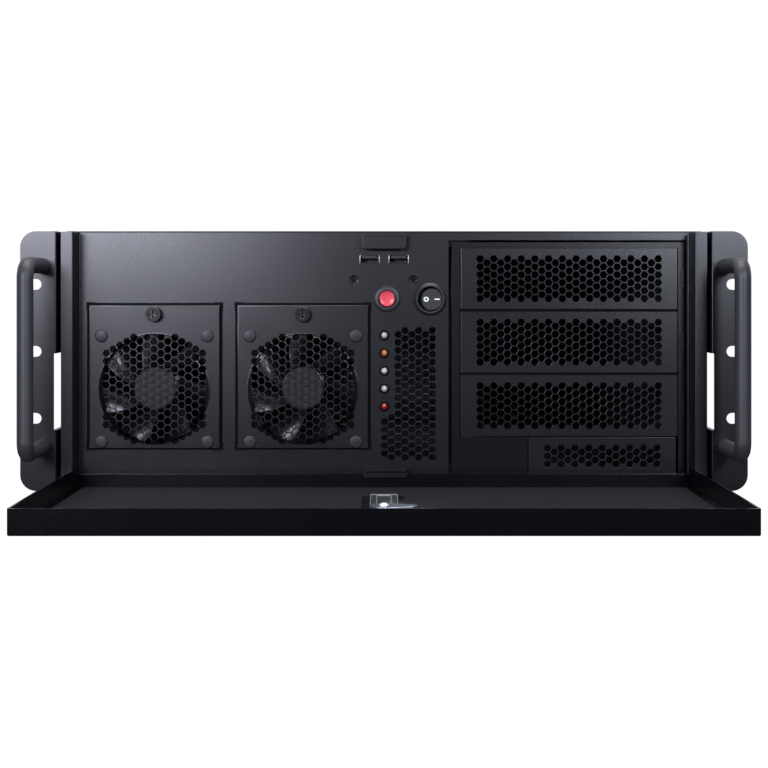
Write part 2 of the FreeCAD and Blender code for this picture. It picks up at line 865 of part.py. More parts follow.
def power_switch():
    """Round rocker switch, its left half pressed in."""
    x = power_x
    z = power_z
    ring = drum(x, z, recess_depth - power_ring_rise, recess_depth, power_ring_d)
    body = drum(x, z, recess_depth, recess_depth + power_body_depth, power_body_d)
    radius = power_bore_d / 2 - power_side_gap
    tilt = math.radians(power_tilt)
    swing = power_cap_half + radius * math.sin(tilt) + power_side_gap
    bore = drum(x, z, 0, power_pivot_y + swing, power_bore_d)
    save("power_bezel", fused(ring, body).cut(bore))
    edge = -power_cap_dip - radius * math.tan(tilt)
    profile = [
        Vector(-radius, edge, -radius),
        Vector(0, -power_cap_dip, -radius),
        Vector(radius, edge, -radius),
        Vector(radius, power_cap_half, -radius),
        Vector(-radius, power_cap_half, -radius),
    ]
    cap = prism(profile, Vector(0, 0, 2 * radius)).common(drum(0, 0, -radius, radius, 2 * radius))
    cap.rotate(Vector(0, 0, 0), Vector(0, 0, 1), -power_tilt)
    cap.translate(Vector(x, power_pivot_y, z))
    save("power_rocker", cap)


def lamps():
    """Five indicator lamps in a column, each on its own holder."""
    groups = {"clear_lamps": (0, 2, 3), "amber_lamp": (1,), "red_lamp": (4,)}
    face = recess_depth - holder_rise
    save("lamp_holders", Part.makeCompound([head(led_x, z, face, recess_depth, holder_d) for z in led_z]))
    for name, places in groups.items():
        lenses = [head(led_x, led_z[i], face - led_rise, face, led_d) for i in places]
        save(name, lenses[0] if len(lenses) == 1 else Part.makeCompound(lenses))


def drive_cage():
    """Sheet cage behind the bay opening, with outward front flanges and a blank beside the small bay."""
    y0 = panel_back
    y1 = y0 + cage_depth
    top = bay_high - cage_top_gap
    low = sheet
    t = cage_sheet
    bay_floor = small_cover_high + touch_gap
    pieces = [
        box(cage_left, cage_left + t, y0, y1, low, top),
        box(cage_right - t, cage_right, y0, y1, low, top),
        box(cage_left, cage_right, y0, y1, top - t, top),
        box(cage_left, cage_right, y0, y1, low, low + t),
        box(cage_flange_left, cage_left, y0, y0 + t, bay_low, top),
        box(cage_right, cage_flange_right, y0, y0 + t, bay_low, top),
        box(cage_left, small_cover_left - touch_gap, y0, y0 + t, low, bay_floor),
        box(cage_left, cage_right, y0, y0 + t, drive_cover_top + touch_gap, top),
    ]
    return fused(*pieces)


def drive_cover_tops():
    return [drive_cover_top - i * drive_cover_pitch for i in range(3)]


def bay_cover(x0, x1, z0, z1, margin, pitch):
    """Blank for a drive bay: perforated front with a return along each side."""
    y = recess_depth
    field = comb_field(x0 + margin, x1 - margin, z0 + cover_slot, z1 - cover_slot, y, pitch)
    front = pierced(rectangle(x0, x1, z0, z1, y), field, sheet)
    left = box(x0, x0 + sheet, y + sheet, y + sheet + drive_cover_return, z0, z1)
    right = box(x1 - sheet, x1, y + sheet, y + sheet + drive_cover_return, z0, z1)
    return fused(front, left, right)


def drive_bays():
    save("drive_cage", drive_cage())
    clips = []
    clip_x = (cage_right + cage_flange_right) / 2
    clip_y = panel_back - clip_rise
    for name, top in zip(("top", "middle", "bottom"), drive_cover_tops()):
        low = top - drive_cover_height
        cover = bay_cover(drive_cover_left, drive_cover_right, low, top, drive_cover_margin, comb_pitch)
        save(f"bay_cover_{name}", cover)
        middle = (top + low) / 2
        clips.append(
            box(
                clip_x - clip_width / 2,
                clip_x + clip_width / 2,
                clip_y,
                panel_back,
                middle - clip_height / 2,
                middle + clip_height / 2,
            )
        )
    save("bay_clips", Part.makeCompound(clips))
    margin = small_cover_margin
    cover = bay_cover(
        small_cover_left, small_cover_right, small_cover_low, small_cover_high, margin, small_comb_pitch
    )
    save("small_bay_cover", cover)


def card_slots():
    """A blank behind each card opening, held by one hex screw at its top."""
    blanks = []
    screws = []
    y = rear_y - sheet
    for i in range(slot_count):
        x = slot_first_x + i * slot_pitch
        half = slot_width / 2 + slot_lap
        top = slot_low + slot_height + slot_lap
        blank = box(x - half, x + half, y - lid_sheet, y, slot_low - slot_lap, top)
        tab = box(x - half, x + half, y - slot_tab, y, top, top + lid_sheet)
        blanks.append(fused(blank, tab))
        seat = top + lid_sheet
        centre_y = y - slot_tab / 2
        screws.append(post(x, centre_y, seat, seat + slot_screw_height, hex_corners(slot_screw_flats), 6))
    save("slot_covers", Part.makeCompound(blanks))
    save("slot_screws", Part.makeCompound(screws))


def board_posts():
    """Hexagonal posts for a main board."""
    top = sheet + post_height
    posts = [post(x, y, sheet, top, hex_corners(post_flats), 6) for x in post_x for y in post_y]
    save("board_posts", Part.makeCompound(posts))


def lid_fasteners():
    right = [
        side_head(half_width, half_width + lid_screw_height, y, lid_under - lid_screw_drop, lid_screw_d)
        for y in lid_screw_y
    ]
    save("lid_screws", Part.makeCompound(right + [mirrored(s) for s in right]))


os.makedirs("parts", exist_ok=True)
save("base_pan", base_pan())
save("rear_panel", rear_panel())
save("io_shield", io_shield())
save("top_lid", top_lid())
save("front_panel", front_panel())
save("ear_right", ear())
save("ear_left", mirrored(ear()))
save("handle_right", handle())
save("handle_left", mirrored(handle()))
ear_fasteners()
hooks()
door()
lock()
fan_modules()
usb_ports()
reset_button()
power_switch()
lamps()
drive_bays()
card_slots()
board_posts()
lid_fasteners()
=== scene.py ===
import json
import math

import bmesh
import bpy
from mathutils import Matrix, Vector


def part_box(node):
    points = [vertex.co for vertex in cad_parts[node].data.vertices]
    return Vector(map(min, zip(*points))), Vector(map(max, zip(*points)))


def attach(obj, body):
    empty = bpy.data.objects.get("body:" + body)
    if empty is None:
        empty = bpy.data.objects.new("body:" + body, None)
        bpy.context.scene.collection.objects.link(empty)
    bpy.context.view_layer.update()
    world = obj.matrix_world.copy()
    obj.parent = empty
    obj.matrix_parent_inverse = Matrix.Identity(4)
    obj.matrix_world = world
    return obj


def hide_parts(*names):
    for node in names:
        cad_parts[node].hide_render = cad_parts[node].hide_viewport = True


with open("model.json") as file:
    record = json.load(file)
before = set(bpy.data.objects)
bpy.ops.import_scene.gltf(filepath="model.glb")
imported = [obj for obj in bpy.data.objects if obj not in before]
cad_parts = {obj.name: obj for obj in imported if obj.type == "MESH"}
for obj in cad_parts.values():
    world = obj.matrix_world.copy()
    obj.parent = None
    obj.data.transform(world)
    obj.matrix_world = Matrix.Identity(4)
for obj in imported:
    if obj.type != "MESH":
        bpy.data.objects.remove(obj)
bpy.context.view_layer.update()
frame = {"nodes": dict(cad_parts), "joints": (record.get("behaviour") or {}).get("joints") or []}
mm = 0.001


# Lid and body. Both are folded from thin steel sheet and sprayed with a fine textured powder coat,
# black with a slight blue cast. The lid's sides drop inside the body's, and screws hold it there.
class Wire:
    """One value in a material's nodes, so that a pattern is written as a sum."""

    def __init__(self, socket):
        self.socket = socket

    def worked(self, operation, *others, swap=False):
        tree = self.socket.id_data
        node = tree.nodes.new("ShaderNodeMath")
        node.operation = operation
        terms = [self, *others]
        if swap:
            terms.reverse()
        for entry, term in zip(node.inputs, terms):
            join(entry, term)
        return Wire(node.outputs[0])

    def __add__(self, other):
        return self.worked("ADD", other)

    def __sub__(self, other):
        return self.worked("SUBTRACT", other)

    def __rsub__(self, other):
        return self.worked("SUBTRACT", other, swap=True)

    def __mul__(self, other):
        return self.worked("MULTIPLY", other)

    def __truediv__(self, other):
        return self.worked("DIVIDE", other)

    def __gt__(self, other):
        return self.worked("GREATER_THAN", other)

    def __abs__(self):
        return self.worked("ABSOLUTE")

    def within(self, low, high):
        """The value, kept between two numbers."""
        return self.worked("MAXIMUM", low).worked("MINIMUM", high)

    __radd__ = __add__
    __rmul__ = __mul__


def join(entry, value):
    """Gives a socket a value or a link."""
    if isinstance(value, Wire):
        entry.id_data.links.new(value.socket, entry)
    elif isinstance(value, tuple) and len(value) == 3 and len(entry.default_value) == 4:
        entry.default_value = (*value, 1)
    else:
        entry.default_value = value


class Finish:
    """A material with one principled shader, whose patterns lie on the piece's own coordinates."""

    def __init__(self, name, **plain):
        self.material = bpy.data.materials.new(name)
        self.material.use_nodes = True
        self.tree = self.material.node_tree
        self.shader = self.tree.nodes["Principled BSDF"]
        self.place = self.node("ShaderNodeTexCoord", out="Object")
        self.set(**plain)

    def node(self, kind, settings=None, sockets=None, out=0):
        node = self.tree.nodes.new(kind)
        for key, value in (settings or {}).items():
            setattr(node, key, value)
        for key, value in (sockets or {}).items():
            join(node.inputs[key], value)
        return Wire(node.outputs[out])

    def noise(self, scale, detail, rough):
        sockets = {"Vector": self.place, "Scale": scale, "Detail": detail, "Roughness": rough}
        return self.node("ShaderNodeTexNoise", sockets=sockets)

    def mix(self, factor, first, second):
        sockets = {"Factor": factor, 6: first, 7: second}
        return self.node("ShaderNodeMix", {"data_type": "RGBA"}, sockets, out=2)

    def along(self, axis):
        return self.node("ShaderNodeSeparateXYZ", sockets={0: self.place}, out=axis)

    def bump(self, height, distance):
        sockets = {"Height": height, "Distance": distance, "Strength": 1.0}
        self.set(Normal=self.node("ShaderNodeBump", sockets=sockets))

    def set(self, **sockets):
        for key, value in sockets.items():
            join(self.shader.inputs[key.replace("_", " ")], value)
        return self


def powder_coat(name, dark, light, roughness, grain=1500.0, relief=0.000018, shine=0.5):
    """A sprayed and baked coat: a fine grain over slow clouds of colour and gloss."""
    coat = Finish(name, Specular_IOR_Level=shine)
    fine = coat.noise(grain, 3, 0.65)
    cloud = coat.noise(11, 3, 0.55)
    coat.set(
        Base_Color=coat.mix(fine * 0.6 + cloud * 0.4, dark, light),
        Roughness=fine * 0.14 + cloud * 0.10 + (roughness - 0.12),
    )
    coat.bump(fine, relief)
    return coat.material


blue_black = (0.0018, 0.0019, 0.0028)
case_coat = powder_coat("case_coat", blue_black, (0.0045, 0.0048, 0.0066), 0.30)


def span(node):
    """A node's lowest and highest corners, in millimetres."""
    low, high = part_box(node)
    return low / mm, high / mm


def centre(node):
    low, high = span(node)
    return (low + high) / 2


def coated(material, *nodes):
    for node in nodes:
        for place in frame["nodes"][node].material_slots:
            place.material = material


def baked(piece):
    """Applies a piece's modifiers to its mesh."""
    done = piece.evaluated_get(bpy.context.evaluated_depsgraph_get())
    drawn, piece.data = piece.data, bpy.data.meshes.new_from_object(done)
    piece.modifiers.clear()
    bpy.data.meshes.remove(drawn)
    piece.data.name = piece.name
    return piece.data


def level_flats(mesh):
    """Gives each large flat face its own normal, so that light falls evenly on it up to its eased edges."""
    smallest_area = 20 * mm * mm
    narrowest = 0.8 * mm
    normals = [tuple(corner.vector) for corner in mesh.corner_normals]
    for face in mesh.polygons:
        ring = [mesh.vertices[i].co for i in face.vertices]
        around = sum((ring[i] - ring[i - 1]).length for i in range(len(ring)))
        if face.area > smallest_area and 2 * face.area / around > narrowest:
            for loop in face.loop_indices:
                normals[loop] = tuple(face.normal)
    mesh.normals_split_custom_set(normals)


def made(name, bm, finishes, holes=None, edge=0.0, crossing=False):
    """Turns a shape drawn in millimetres into an object at the origin.

    Its holes are cut, which may cross each other, and its sharp edges are eased by a radius.
    """
    piece = bpy.data.objects.new(name, bpy.data.meshes.new(name))
    bm.to_mesh(piece.data)
    bm.free()
    bpy.context.scene.collection.objects.link(piece)
    cutter = None
    if holes is not None:
        cutter = made(name + "_holes", holes, [])
        cutter.data.transform(Matrix.Scale(1 / mm, 4))
        cut = piece.modifiers.new("holes", "BOOLEAN")
        cut.object = cutter
        cut.solver = "EXACT"
        cut.use_self = crossing
    if edge:
        ease = piece.modifiers.new("edge", "BEVEL")
        ease.width = edge
        ease.segments = 2
        ease.limit_method = "ANGLE"
        ease.angle_limit = math.radians(40)
    mesh = baked(piece)
    if cutter:
        bpy.data.objects.remove(cutter)
    mesh.transform(Matrix.Scale(mm, 4))
    mesh.shade_smooth()
    mesh.set_sharp_from_angle(angle=math.radians(32))
    mesh.materials.clear()
    for finish in finishes:
        mesh.materials.append(finish)
    if finishes:
        level = piece.modifiers.new("normals", "WEIGHTED_NORMAL")
        level.keep_sharp = True
        level.weight = 80
        mesh = baked(piece)
        if edge:
            level_flats(mesh)
    return piece


def fitted(piece, body, slot, *nodes):
    """Puts a piece on its body, in place of the nodes that it stands for. Its slot is not used."""
    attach(piece, body)
    if nodes:
        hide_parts(*nodes)
    return piece


def eased(bm, edges, offset, segments):
    bmesh.ops.bevel(
        bm, geom=list(edges), offset=offset, segments=segments, profile=0.5, affect="EDGES", material=-1
    )


def moved(bm, grown, vec):
    """Moves the points among the geometry that an extrusion gave, and returns them."""
    verts = [part for part in grown["geom"] if isinstance(part, bmesh.types.BMVert)]
    bmesh.ops.translate(bm, vec=vec, verts=verts)
    return verts


def block(bm, low, high, ease=0.0):
    """A rectangular piece between two corners, its edges eased."""
    low, high = Vector(low), Vector(high)
    place = Matrix.Translation((low + high) / 2) @ Matrix.Diagonal((*(high - low), 1))
    verts = bmesh.ops.create_cube(bm, size=1, matrix=place)["verts"]
    if ease:
        edges = {edge for vert in verts for edge in vert.link_edges}
        eased(bm, edges, ease, 2)


def facing(bm, direction):
    """Makes an open sheet's faces agree and look one way."""
    bmesh.ops.recalc_face_normals(bm, faces=bm.faces)
    widest = max(bm.faces, key=lambda face: face.calc_area())
    if widest.normal.dot(Vector(direction)) < 0:
        bmesh.ops.reverse_faces(bm, faces=bm.faces)


def folded(points, sweep, sheet, bend, front):
    """Sheet folded along a line of points on its outer face, which looks towards front."""
    bm = bmesh.new()
    verts = [bm.verts.new(point) for point in points]
    line = [bm.edges.new(pair) for pair in zip(verts, verts[1:])]
    moved(bm, bmesh.ops.extrude_edge_only(bm, edges=line), sweep)
    eased(bm, [edge for edge in bm.edges if len(edge.link_faces) == 2], bend, 4)
    facing(bm, front)
    bmesh.ops.solidify(bm, geom=bm.faces[:], thickness=sheet)
    return bm


lid_low, lid_high = span("top_lid")
lid_sheet = 1.0
skin = 1.2
side_inset = 7.2
lid = bmesh.new()
block(lid, (lid_low.x, lid_low.y, lid_high.z - lid_sheet), lid_high, 0.3)
for side in (-1, 1):
    inner, outer = sorted((side * (lid_high.x - skin - lid_sheet), side * (lid_high.x - skin)))
    near, far = lid_low.y + side_inset, lid_high.y - side_inset
    block(lid, (inner, near, lid_low.z), (outer, far, lid_high.z - lid_sheet))
fitted(made("lid_sheet", lid, [case_coat]), "case", "powder_coat", "top_lid")

# A duller copy of the coat with almost no shine: painted shade, for the brackets inside the case and the hidden
# faces of the bay blanks.
inside_coat = powder_coat("inside_coat", (0.002, 0.0021, 0.0026), (0.004, 0.0042, 0.0050), 0.6, shine=0.08)
pan_coat = Finish("pan_coat")
fine = pan_coat.noise(1500, 3, 0.65)
mid_wall = (span("base_pan")[1].x - skin / 2) * mm
inside = ((mid_wall - abs(pan_coat.along(0))) > 0.0) * (pan_coat.along(2) > skin / 2 * mm)
pan_coat.set(
    Base_Color=pan_coat.mix(fine, (0.003, 0.0031, 0.0040), (0.007, 0.0073, 0.0088)),
    Roughness=fine * 0.1 + inside * 0.6 + 0.27,
)
pan_coat.bump(fine, 0.000018)
coated(pan_coat.material, "base_pan")
coated(case_coat, "rear_panel", "slot_covers")
cage_coat = Finish("cage_coat", Specular_IOR_Level=0.34)
fine = cage_coat.noise(1500, 3, 0.65)
# Deeper than the cage's front the colour is the coat's darkest tone, and rougher: painted shade inside the
# cage.
inward = cage_coat.along(1) > (span("drive_cage")[0].y + 1.6) * mm
cage_coat.set(
    Base_Color=cage_coat.mix(fine * (1 - inward), (0.0010, 0.0011, 0.0016), (0.0045, 0.0048, 0.0066)),
    Roughness=fine * 0.14 + inward * 0.6 + 0.22,
)
cage_coat.bump(fine, 0.000018)
coated(cage_coat.material, "drive_cage")
coated(inside_coat, "port_bracket", "fan_bracket_left", "fan_bracket_right")

# Power supply ledge. Folded from the rear wall's own sheet along the lower edge of the opening, with
# a low lip, for the power supply to rest on.
rear = span("rear_panel")[1].y - 0.1
opening_left, opening_right, opening_foot = -55.9, 85.9, 92.6
ledge_depth, lip_height = 4.9, 4.0
ledge = bmesh.new()
block(ledge, (opening_left, rear - ledge_depth, opening_foot), (opening_right, rear, opening_foot + skin), 0.2)
lip_low = opening_left, rear - skin, opening_foot + 0.2
block(ledge, lip_low, (opening_right, rear, opening_foot + lip_height), 0.2)
fitted(made("supply_ledge", ledge, [case_coat]), "case", "powder_coat")

# Front panel. One sheet, folded into the recess that the door closes into: a strip each side,
# the recess walls and the panel at the back, with everything on it punched through.
panel_low, panel_high = span("front_panel")
panel_y = span("lamp_holders")[1].y
strip_y = panel_low.y
strip_width = 8.1
recess_x = panel_high.x - strip_width
top_room = 0.5
comb_pitch = 5.36
comb_step = 4.63
comb_flats = 4.7


def rod(bm, x, z, radius, sides, front, back, turn=0.0):
    """A straight rod along Y, to cut a hole with or to build on."""
    place = (
        Matrix.Translation((x, (front + back) / 2, z))
        @ Matrix.Rotation(math.radians(turn), 4, "Y")
        @ Matrix.Rotation(math.pi / 2, 4, "X")
    )
    bmesh.ops.create_cone(
        bm, cap_ends=True, segments=sides, radius1=radius, radius2=radius, depth=back - front, matrix=place
    )


def comb(bm, x, middle_z, count, front, back):
    """One upright column of hexagonal openings."""
    for row in range(count):
        z = middle_z + (row - (count - 1) / 2) * comb_pitch
        rod(bm, x, z, comb_flats / math.sqrt(3), 6, front, back, 30)


panel = folded(
    [
        (-panel_high.x, strip_y, 0),
        (-recess_x, strip_y, 0),
        (-recess_x, panel_y, 0),
        (recess_x, panel_y, 0),
        (recess_x, strip_y, 0),
        (panel_high.x, strip_y, 0),
    ],
    (0, 0, panel_high.z - top_room),
    skin,
    1.0,
    (0, -1, 0),
)
cuts = bmesh.new()
cut_front, cut_back = panel_y - 1, panel_y + 3


def bar_hole(low_x, high_x, low_z, high_z):
    block(cuts, (low_x, cut_front, low_z), (high_x, cut_back, high_z))


cover_gap = 1.5
notch_wide, notch_tall, overlap = 6.0, 5.2, 0.5
for name in ("left", "right"):
    low, high = span("fan_cover_" + name)
    bar_hole(low.x - cover_gap, high.x + cover_gap, low.z - cover_gap, high.z + cover_gap)
    for x, inward in ((low.x - cover_gap, 1), (high.x + cover_gap, -1)):
        for z, upward in ((low.z - cover_gap, 1), (high.z + cover_gap, -1)):
            for reach_x, reach_z in ((notch_wide, cover_gap), (cover_gap, notch_tall)):
                low_x, high_x = sorted((x - inward * overlap, x + inward * reach_x))
                low_z, high_z = sorted((z - upward * overlap, z + upward * reach_z))
                bar_hole(low_x, high_x, low_z, high_z)
cage_low, cage_high = span("drive_cage")
cage_gap_left, cage_gap_right, cage_gap_top, sill = 2.3, 0.9, 1.5, 6.5
bar_hole(cage_low.x - cage_gap_left, cage_high.x + cage_gap_right, sill, cage_high.z + cage_gap_top)
usb_low, usb_high = span("usb_shells")
usb_width, usb_gap = 13.5, 0.1
for low_x in (usb_low.x, usb_high.x - usb_width):
    bar_hole(low_x - usb_gap, low_x + usb_width + usb_gap, usb_low.z - usb_gap, usb_high.z + usb_gap)
reset = centre("reset_button")
power = centre("power_bezel")
reset_bore, power_bore = 7.9, 9.9
rod(cuts, reset.x, reset.z, reset_bore, 32, cut_front, cut_back)
rod(cuts, power.x, power.z, power_bore, 32, cut_front, cut_back)
lamp_radius = 2.5
lamp_top = span("clear_lamps")[1].z - lamp_radius
lamp_x = centre("red_lamp").x
lamp_pitch = (lamp_top - centre("red_lamp").z) / 4
grille_foot = 20.0
for column, rows in enumerate((5, 6, 16, 17, 16, 17, 16, 17)):
    foot = grille_foot + (0 if column % 2 else comb_pitch / 2)
    middle_z = foot + (rows - 1) / 2 * comb_pitch
    comb(cuts, lamp_x + 0.1 + column * comb_step, middle_z, rows, cut_front, cut_back)
screw_radius = 3.25
screw_low, screw_high = span("port_screws")
screw_z = (screw_low.z + screw_high.z) / 2
screws_x = screw_low.x + screw_radius, screw_high.x - screw_radius
for x in screws_x:
    rod(cuts, x, screw_z, screw_radius, 24, cut_front, cut_back)
panel_piece = made("recess_panel", panel, [case_coat], cuts, edge=0.25, crossing=True)
fitted(panel_piece, "case", "powder_coat", "front_panel")

# Fan module covers. Each is a small sheet with returns at its sides and top, a round of honeycomb
# pressed outwards, four push rivets for the fan behind and one thumbscrew at the top.


def turned(bm, profile, at, steps=40, axis=(0, -1, 0)):
    """A turned piece: a line of (radius, height) pairs carried round an axis, closed where it meets it."""
    axis = Vector(axis)
    across = axis.orthogonal().normalized()
    verts = [bm.verts.new(Vector(at) + across * radius + axis * height) for radius, height in profile]
    line = [bm.edges.new(pair) for pair in zip(verts, verts[1:])]
    bmesh.ops.spin(
        bm, geom=verts + line, cent=at, axis=axis, dvec=(0, 0, 0),
        angle=2 * math.pi, steps=steps, use_merge=True,
    )
    bmesh.ops.remove_doubles(bm, verts=bm.verts, dist=0.0005)


def closed_turned(profile, at, steps=40, axis=(0, -1, 0)):
    bm = bmesh.new()
    turned(bm, profile, at, steps, axis)
    bmesh.ops.recalc_face_normals(bm, faces=bm.faces)
    return bm


def joined(*parts):
    """Several drawn shapes as one."""
    whole = bmesh.new()
    for part in parts:
        mesh = bpy.data.meshes.new("part")
        part.to_mesh(mesh)
        part.free()
        whole.from_mesh(mesh)
        bpy.data.meshes.remove(mesh)
    return whole


cover_coat = powder_coat("cover_coat", blue_black, (0.0048, 0.0051, 0.0070), 0.30)
dome_rise = 2.0
dome_foot = 38.0
dome_top = 33.6
comb_across, comb_tallest = 7, 14


def cover_sheet(low, high, face_y, middle):
    """A fan cover's front: a flat sheet round a pressed dome, drawn as one surface."""
    bm = bmesh.new()
    middle_of_flat = 20.0
    profile = [(0.0, dome_rise), (middle_of_flat, dome_rise)]
    for step in range(9):
        t = step / 8
        profile.append((dome_top + (dome_foot - dome_top) * t, dome_rise * (1 + math.cos(math.pi * t)) / 2))
    turned(bm, profile, (middle.x, face_y, middle.z), 72)
    rim = [edge for edge in bm.edges if edge.is_boundary]
    corners = [
        bm.verts.new((x, face_y, z))
        for x, z in ((low.x, low.z), (high.x, low.z), (high.x, high.z), (low.x, high.z))
    ]
    outline = [bm.edges.new((corners[i - 1], corners[i])) for i in range(4)]
    bmesh.ops.triangle_fill(bm, use_beauty=True, edges=rim + outline, normal=(0, -1, 0))
    facing(bm, (0, -1, 0))
    return bm


for name in ("left", "right"):
    low, high = span("fan_cover_" + name)
    middle = centre("fan_frame_" + name)
    face_y = low.y + dome_rise
    cover = cover_sheet(low, high, face_y, middle)
    sides = [
        edge for edge in cover.edges if edge.is_boundary and max(vert.co.z for vert in edge.verts) > low.z + 0.1
    ]
    moved(cover, bmesh.ops.extrude_edge_only(cover, edges=sides), (0, high.y - face_y, 0))
    eased(cover, [edge for edge in sides if len(edge.link_faces) == 2], 0.9, 3)
    facing(cover, (0, -1, 0))
    bmesh.ops.solidify(cover, geom=cover.faces[:], thickness=skin)
    cuts = bmesh.new()
    for column in range(-comb_across, comb_across + 1):
        count = 17 - abs(column)
        while count > comb_tallest:
            count -= 2
        comb(cuts, middle.x + column * comb_step, middle.z, count, low.y - 2, face_y + 2.5)
    piece = made("module_cover_" + name, cover, [cover_coat], cuts, edge=0.15)
    fitted(piece, "case", "powder_coat", "fan_cover_" + name)


def speckled(name, grain, dark, light, rough, spread, relief=0.0, lumps=(3, 0.6), **plain):
    """A moulded or plated finish, whose colour and gloss wander a little over its grain."""
    look = Finish(name, **plain)
    speck = look.noise(grain, *lumps)
    look.set(Base_Color=look.mix(speck, dark, light), Roughness=speck * spread + rough)
    if relief:
        look.bump(speck, relief)
    return look.material


even = (2, 0.5)
rivet_plastic = speckled(
    "rivet_plastic", 900, (0.010, 0.0102, 0.0118), (0.020, 0.0204, 0.0228), 0.34, 0.15, 0.00003,
    Specular_IOR_Level=0.36,
)
rivet_low, rivet_high = span("fan_rivets")
rivet_radius = 4.3
apart = (rivet_high.z - rivet_low.z) / 2 - rivet_radius
rivet_profile = [(0, 1.6), (3.2, 1.55), (3.9, 1.35), (4.25, 0.9), (rivet_radius, 0.0), (0, 0.0)]
rivets = []
for name in ("left", "right"):
    middle = centre("fan_frame_" + name)
    for side in (-1, 1):
        for end in (-1, 1):
            at = middle.x + side * apart, rivet_high.y, middle.z + end * apart
            rivets.append(closed_turned(rivet_profile, at, 28))
fitted(made("rivet_heads", joined(*rivets), [rivet_plastic]), "case", "black_plastic", "fan_rivets")

gloss_black = speckled(
    "black_screw", 500, (0.003, 0.003, 0.0035), (0.009, 0.0092, 0.0100), 0.2, 0.12, 0.00001, even,
    Specular_IOR_Level=0.34,
)


def cross_recess(bm, x, z, reach, width, front, back):
    block(bm, (x - reach, front, z - width / 2), (x + reach, back, z + width / 2))
    block(bm, (x - width / 2, front, z - reach), (x + width / 2, back, z + reach))


knob_black = speckled(
    "knob_black", 500, (0.004, 0.004, 0.0048), (0.010, 0.0102, 0.0112), 0.26, 0.12, lumps=even,
    Specular_IOR_Level=0.42,
)
knurls, knurl_circle = 24, 5.25
for name in ("left", "right"):
    low, high = span("thumbscrew_" + name)
    at = (low.x + high.x) / 2, high.y, (low.z + high.z) / 2
    tall = high.y - low.y
    profile = [
        (0, tall - 0.5), (2.7, tall - 0.5), (3.2, tall), (3.5, tall), (3.8, tall - 0.6), (4.1, tall - 0.6),
        (4.35, tall), (4.75, tall), (5.1, tall - 0.4), (5.1, 2.2), (4.7, 1.8), (4.7, 0), (0, 0),
    ]
    knob = closed_turned(profile, at, 48)
    recess = bmesh.new()
    cross_recess(recess, at[0], at[2], 2.6, 1.15, low.y - 1, low.y + 3.2)
    for i in range(knurls):
        turn = 2 * math.pi * i / knurls
        x, z = at[0] + knurl_circle * math.cos(turn), at[2] + knurl_circle * math.sin(turn)
        rod(recess, x, z, 0.25, 5, low.y + 0.8, high.y - 2.2)
    piece = made("knob_" + name, knob, [knob_black], recess, crossing=True)
    fitted(piece, "case", "gloss_black", "thumbscrew_" + name)

# Fans. Two 80 mm box fans, moulded in glossy black plastic: a frame with four struts, and a rotor
# whose hub cup carries seven pitched blades.
fan_plastic = speckled(
    "fan_plastic", 60, (0.004, 0.0042, 0.0050), (0.009, 0.0094, 0.0108), 0.18, 0.2, lumps=(3, 0.5),
    Specular_IOR_Level=0.4,
)
# The frame's copy of the black plastic is painted near black with almost no shine: painted shade behind the
# covers.
frame_plastic = speckled(
    "frame_plastic", 60, (0.0004, 0.0004, 0.0006), (0.0014, 0.0014, 0.0018), 0.45, 0.2, lumps=(3, 0.5),
    Specular_IOR_Level=0.05,
)
coated(frame_plastic, "fan_frame_left", "fan_frame_right")
hub_cap = speckled(
    "hub_cap", 700, (0.014, 0.0145, 0.016), (0.028, 0.029, 0.032), 0.42, 0.15, Specular_IOR_Level=0.3
)
blades = 7
hub_radius = 15.0
tip_radius = 36.6
root_radius = hub_radius - 1.2
cap_radius = 14.3
pitch, twist, sweep_back, widening = math.radians(38), math.radians(4.5), math.radians(-3.0), 1.055
chord = [(-8.6, 0.0), (-5.2, 1.3), (-1.2, 1.8), (3.0, 1.3), (6.4, 0.3), (8.6, -1.0)]
for name in ("left", "right"):
    low, high = span("fan_rotor_" + name)
    middle = centre("fan_frame_" + name)
    deep = high.y - low.y
    hub_profile = [
        (0, deep), (13.2, deep), (13.5, deep - 0.25), (14.0, deep - 0.25), (14.7, deep - 0.6),
        (hub_radius, deep - 1.4), (hub_radius, 0), (0, 0),
    ]
    hub = closed_turned(hub_profile, (middle.x, high.y, middle.z), 64)
    blade = bmesh.new()
    pivot = middle + Vector((0, -1.4, 0))
    verts = [blade.verts.new(pivot + Vector((root_radius, along, rise))) for along, rise in chord]
    line = [blade.edges.new(pair) for pair in zip(verts, verts[1:])]
    bmesh.ops.rotate(blade, cent=pivot, matrix=Matrix.Rotation(pitch, 3, "X"), verts=verts)
    steps = 6
    for step in range(steps):
        grown = bmesh.ops.extrude_edge_only(blade, edges=line)
        verts = moved(blade, grown, ((tip_radius - root_radius) / steps, 0, 0))
        line = [edge for edge in blade.edges if edge.verts[0] in verts and edge.verts[1] in verts]
        bmesh.ops.rotate(blade, cent=pivot, matrix=Matrix.Rotation(twist, 3, "X"), verts=verts)
        bmesh.ops.rotate(blade, cent=pivot, matrix=Matrix.Rotation(sweep_back, 3, "Y"), verts=verts)
        bmesh.ops.scale(blade, vec=(1, 1, widening), space=Matrix.Translation(-pivot), verts=verts)
    bmesh.ops.scale(blade, vec=(1, 1, -1), space=Matrix.Translation(-pivot), verts=blade.verts)
    facing(blade, (0, -1, 0))
    bmesh.ops.solidify(blade, geom=blade.faces[:], thickness=1.3)
    bmesh.ops.spin(
        blade, geom=blade.verts[:] + blade.edges[:] + blade.faces[:], cent=middle, axis=(0, 1, 0),
        dvec=(0, 0, 0), angle=2 * math.pi * (blades - 1) / blades, steps=blades - 1, use_duplicate=True,
    )
    bmesh.ops.recalc_face_normals(blade, faces=blade.faces)
    rotor = made("rotor_" + name, joined(hub, blade), [fan_plastic, hub_cap])
    for face in rotor.data.polygons:
        spot = face.center / mm - middle
        if face.normal.y < -0.9 and math.hypot(spot.x, spot.z) < cap_radius:
            face.material_index = 1
    fitted(rotor, "fan_" + name, "black_plastic", "fan_rotor_" + name)

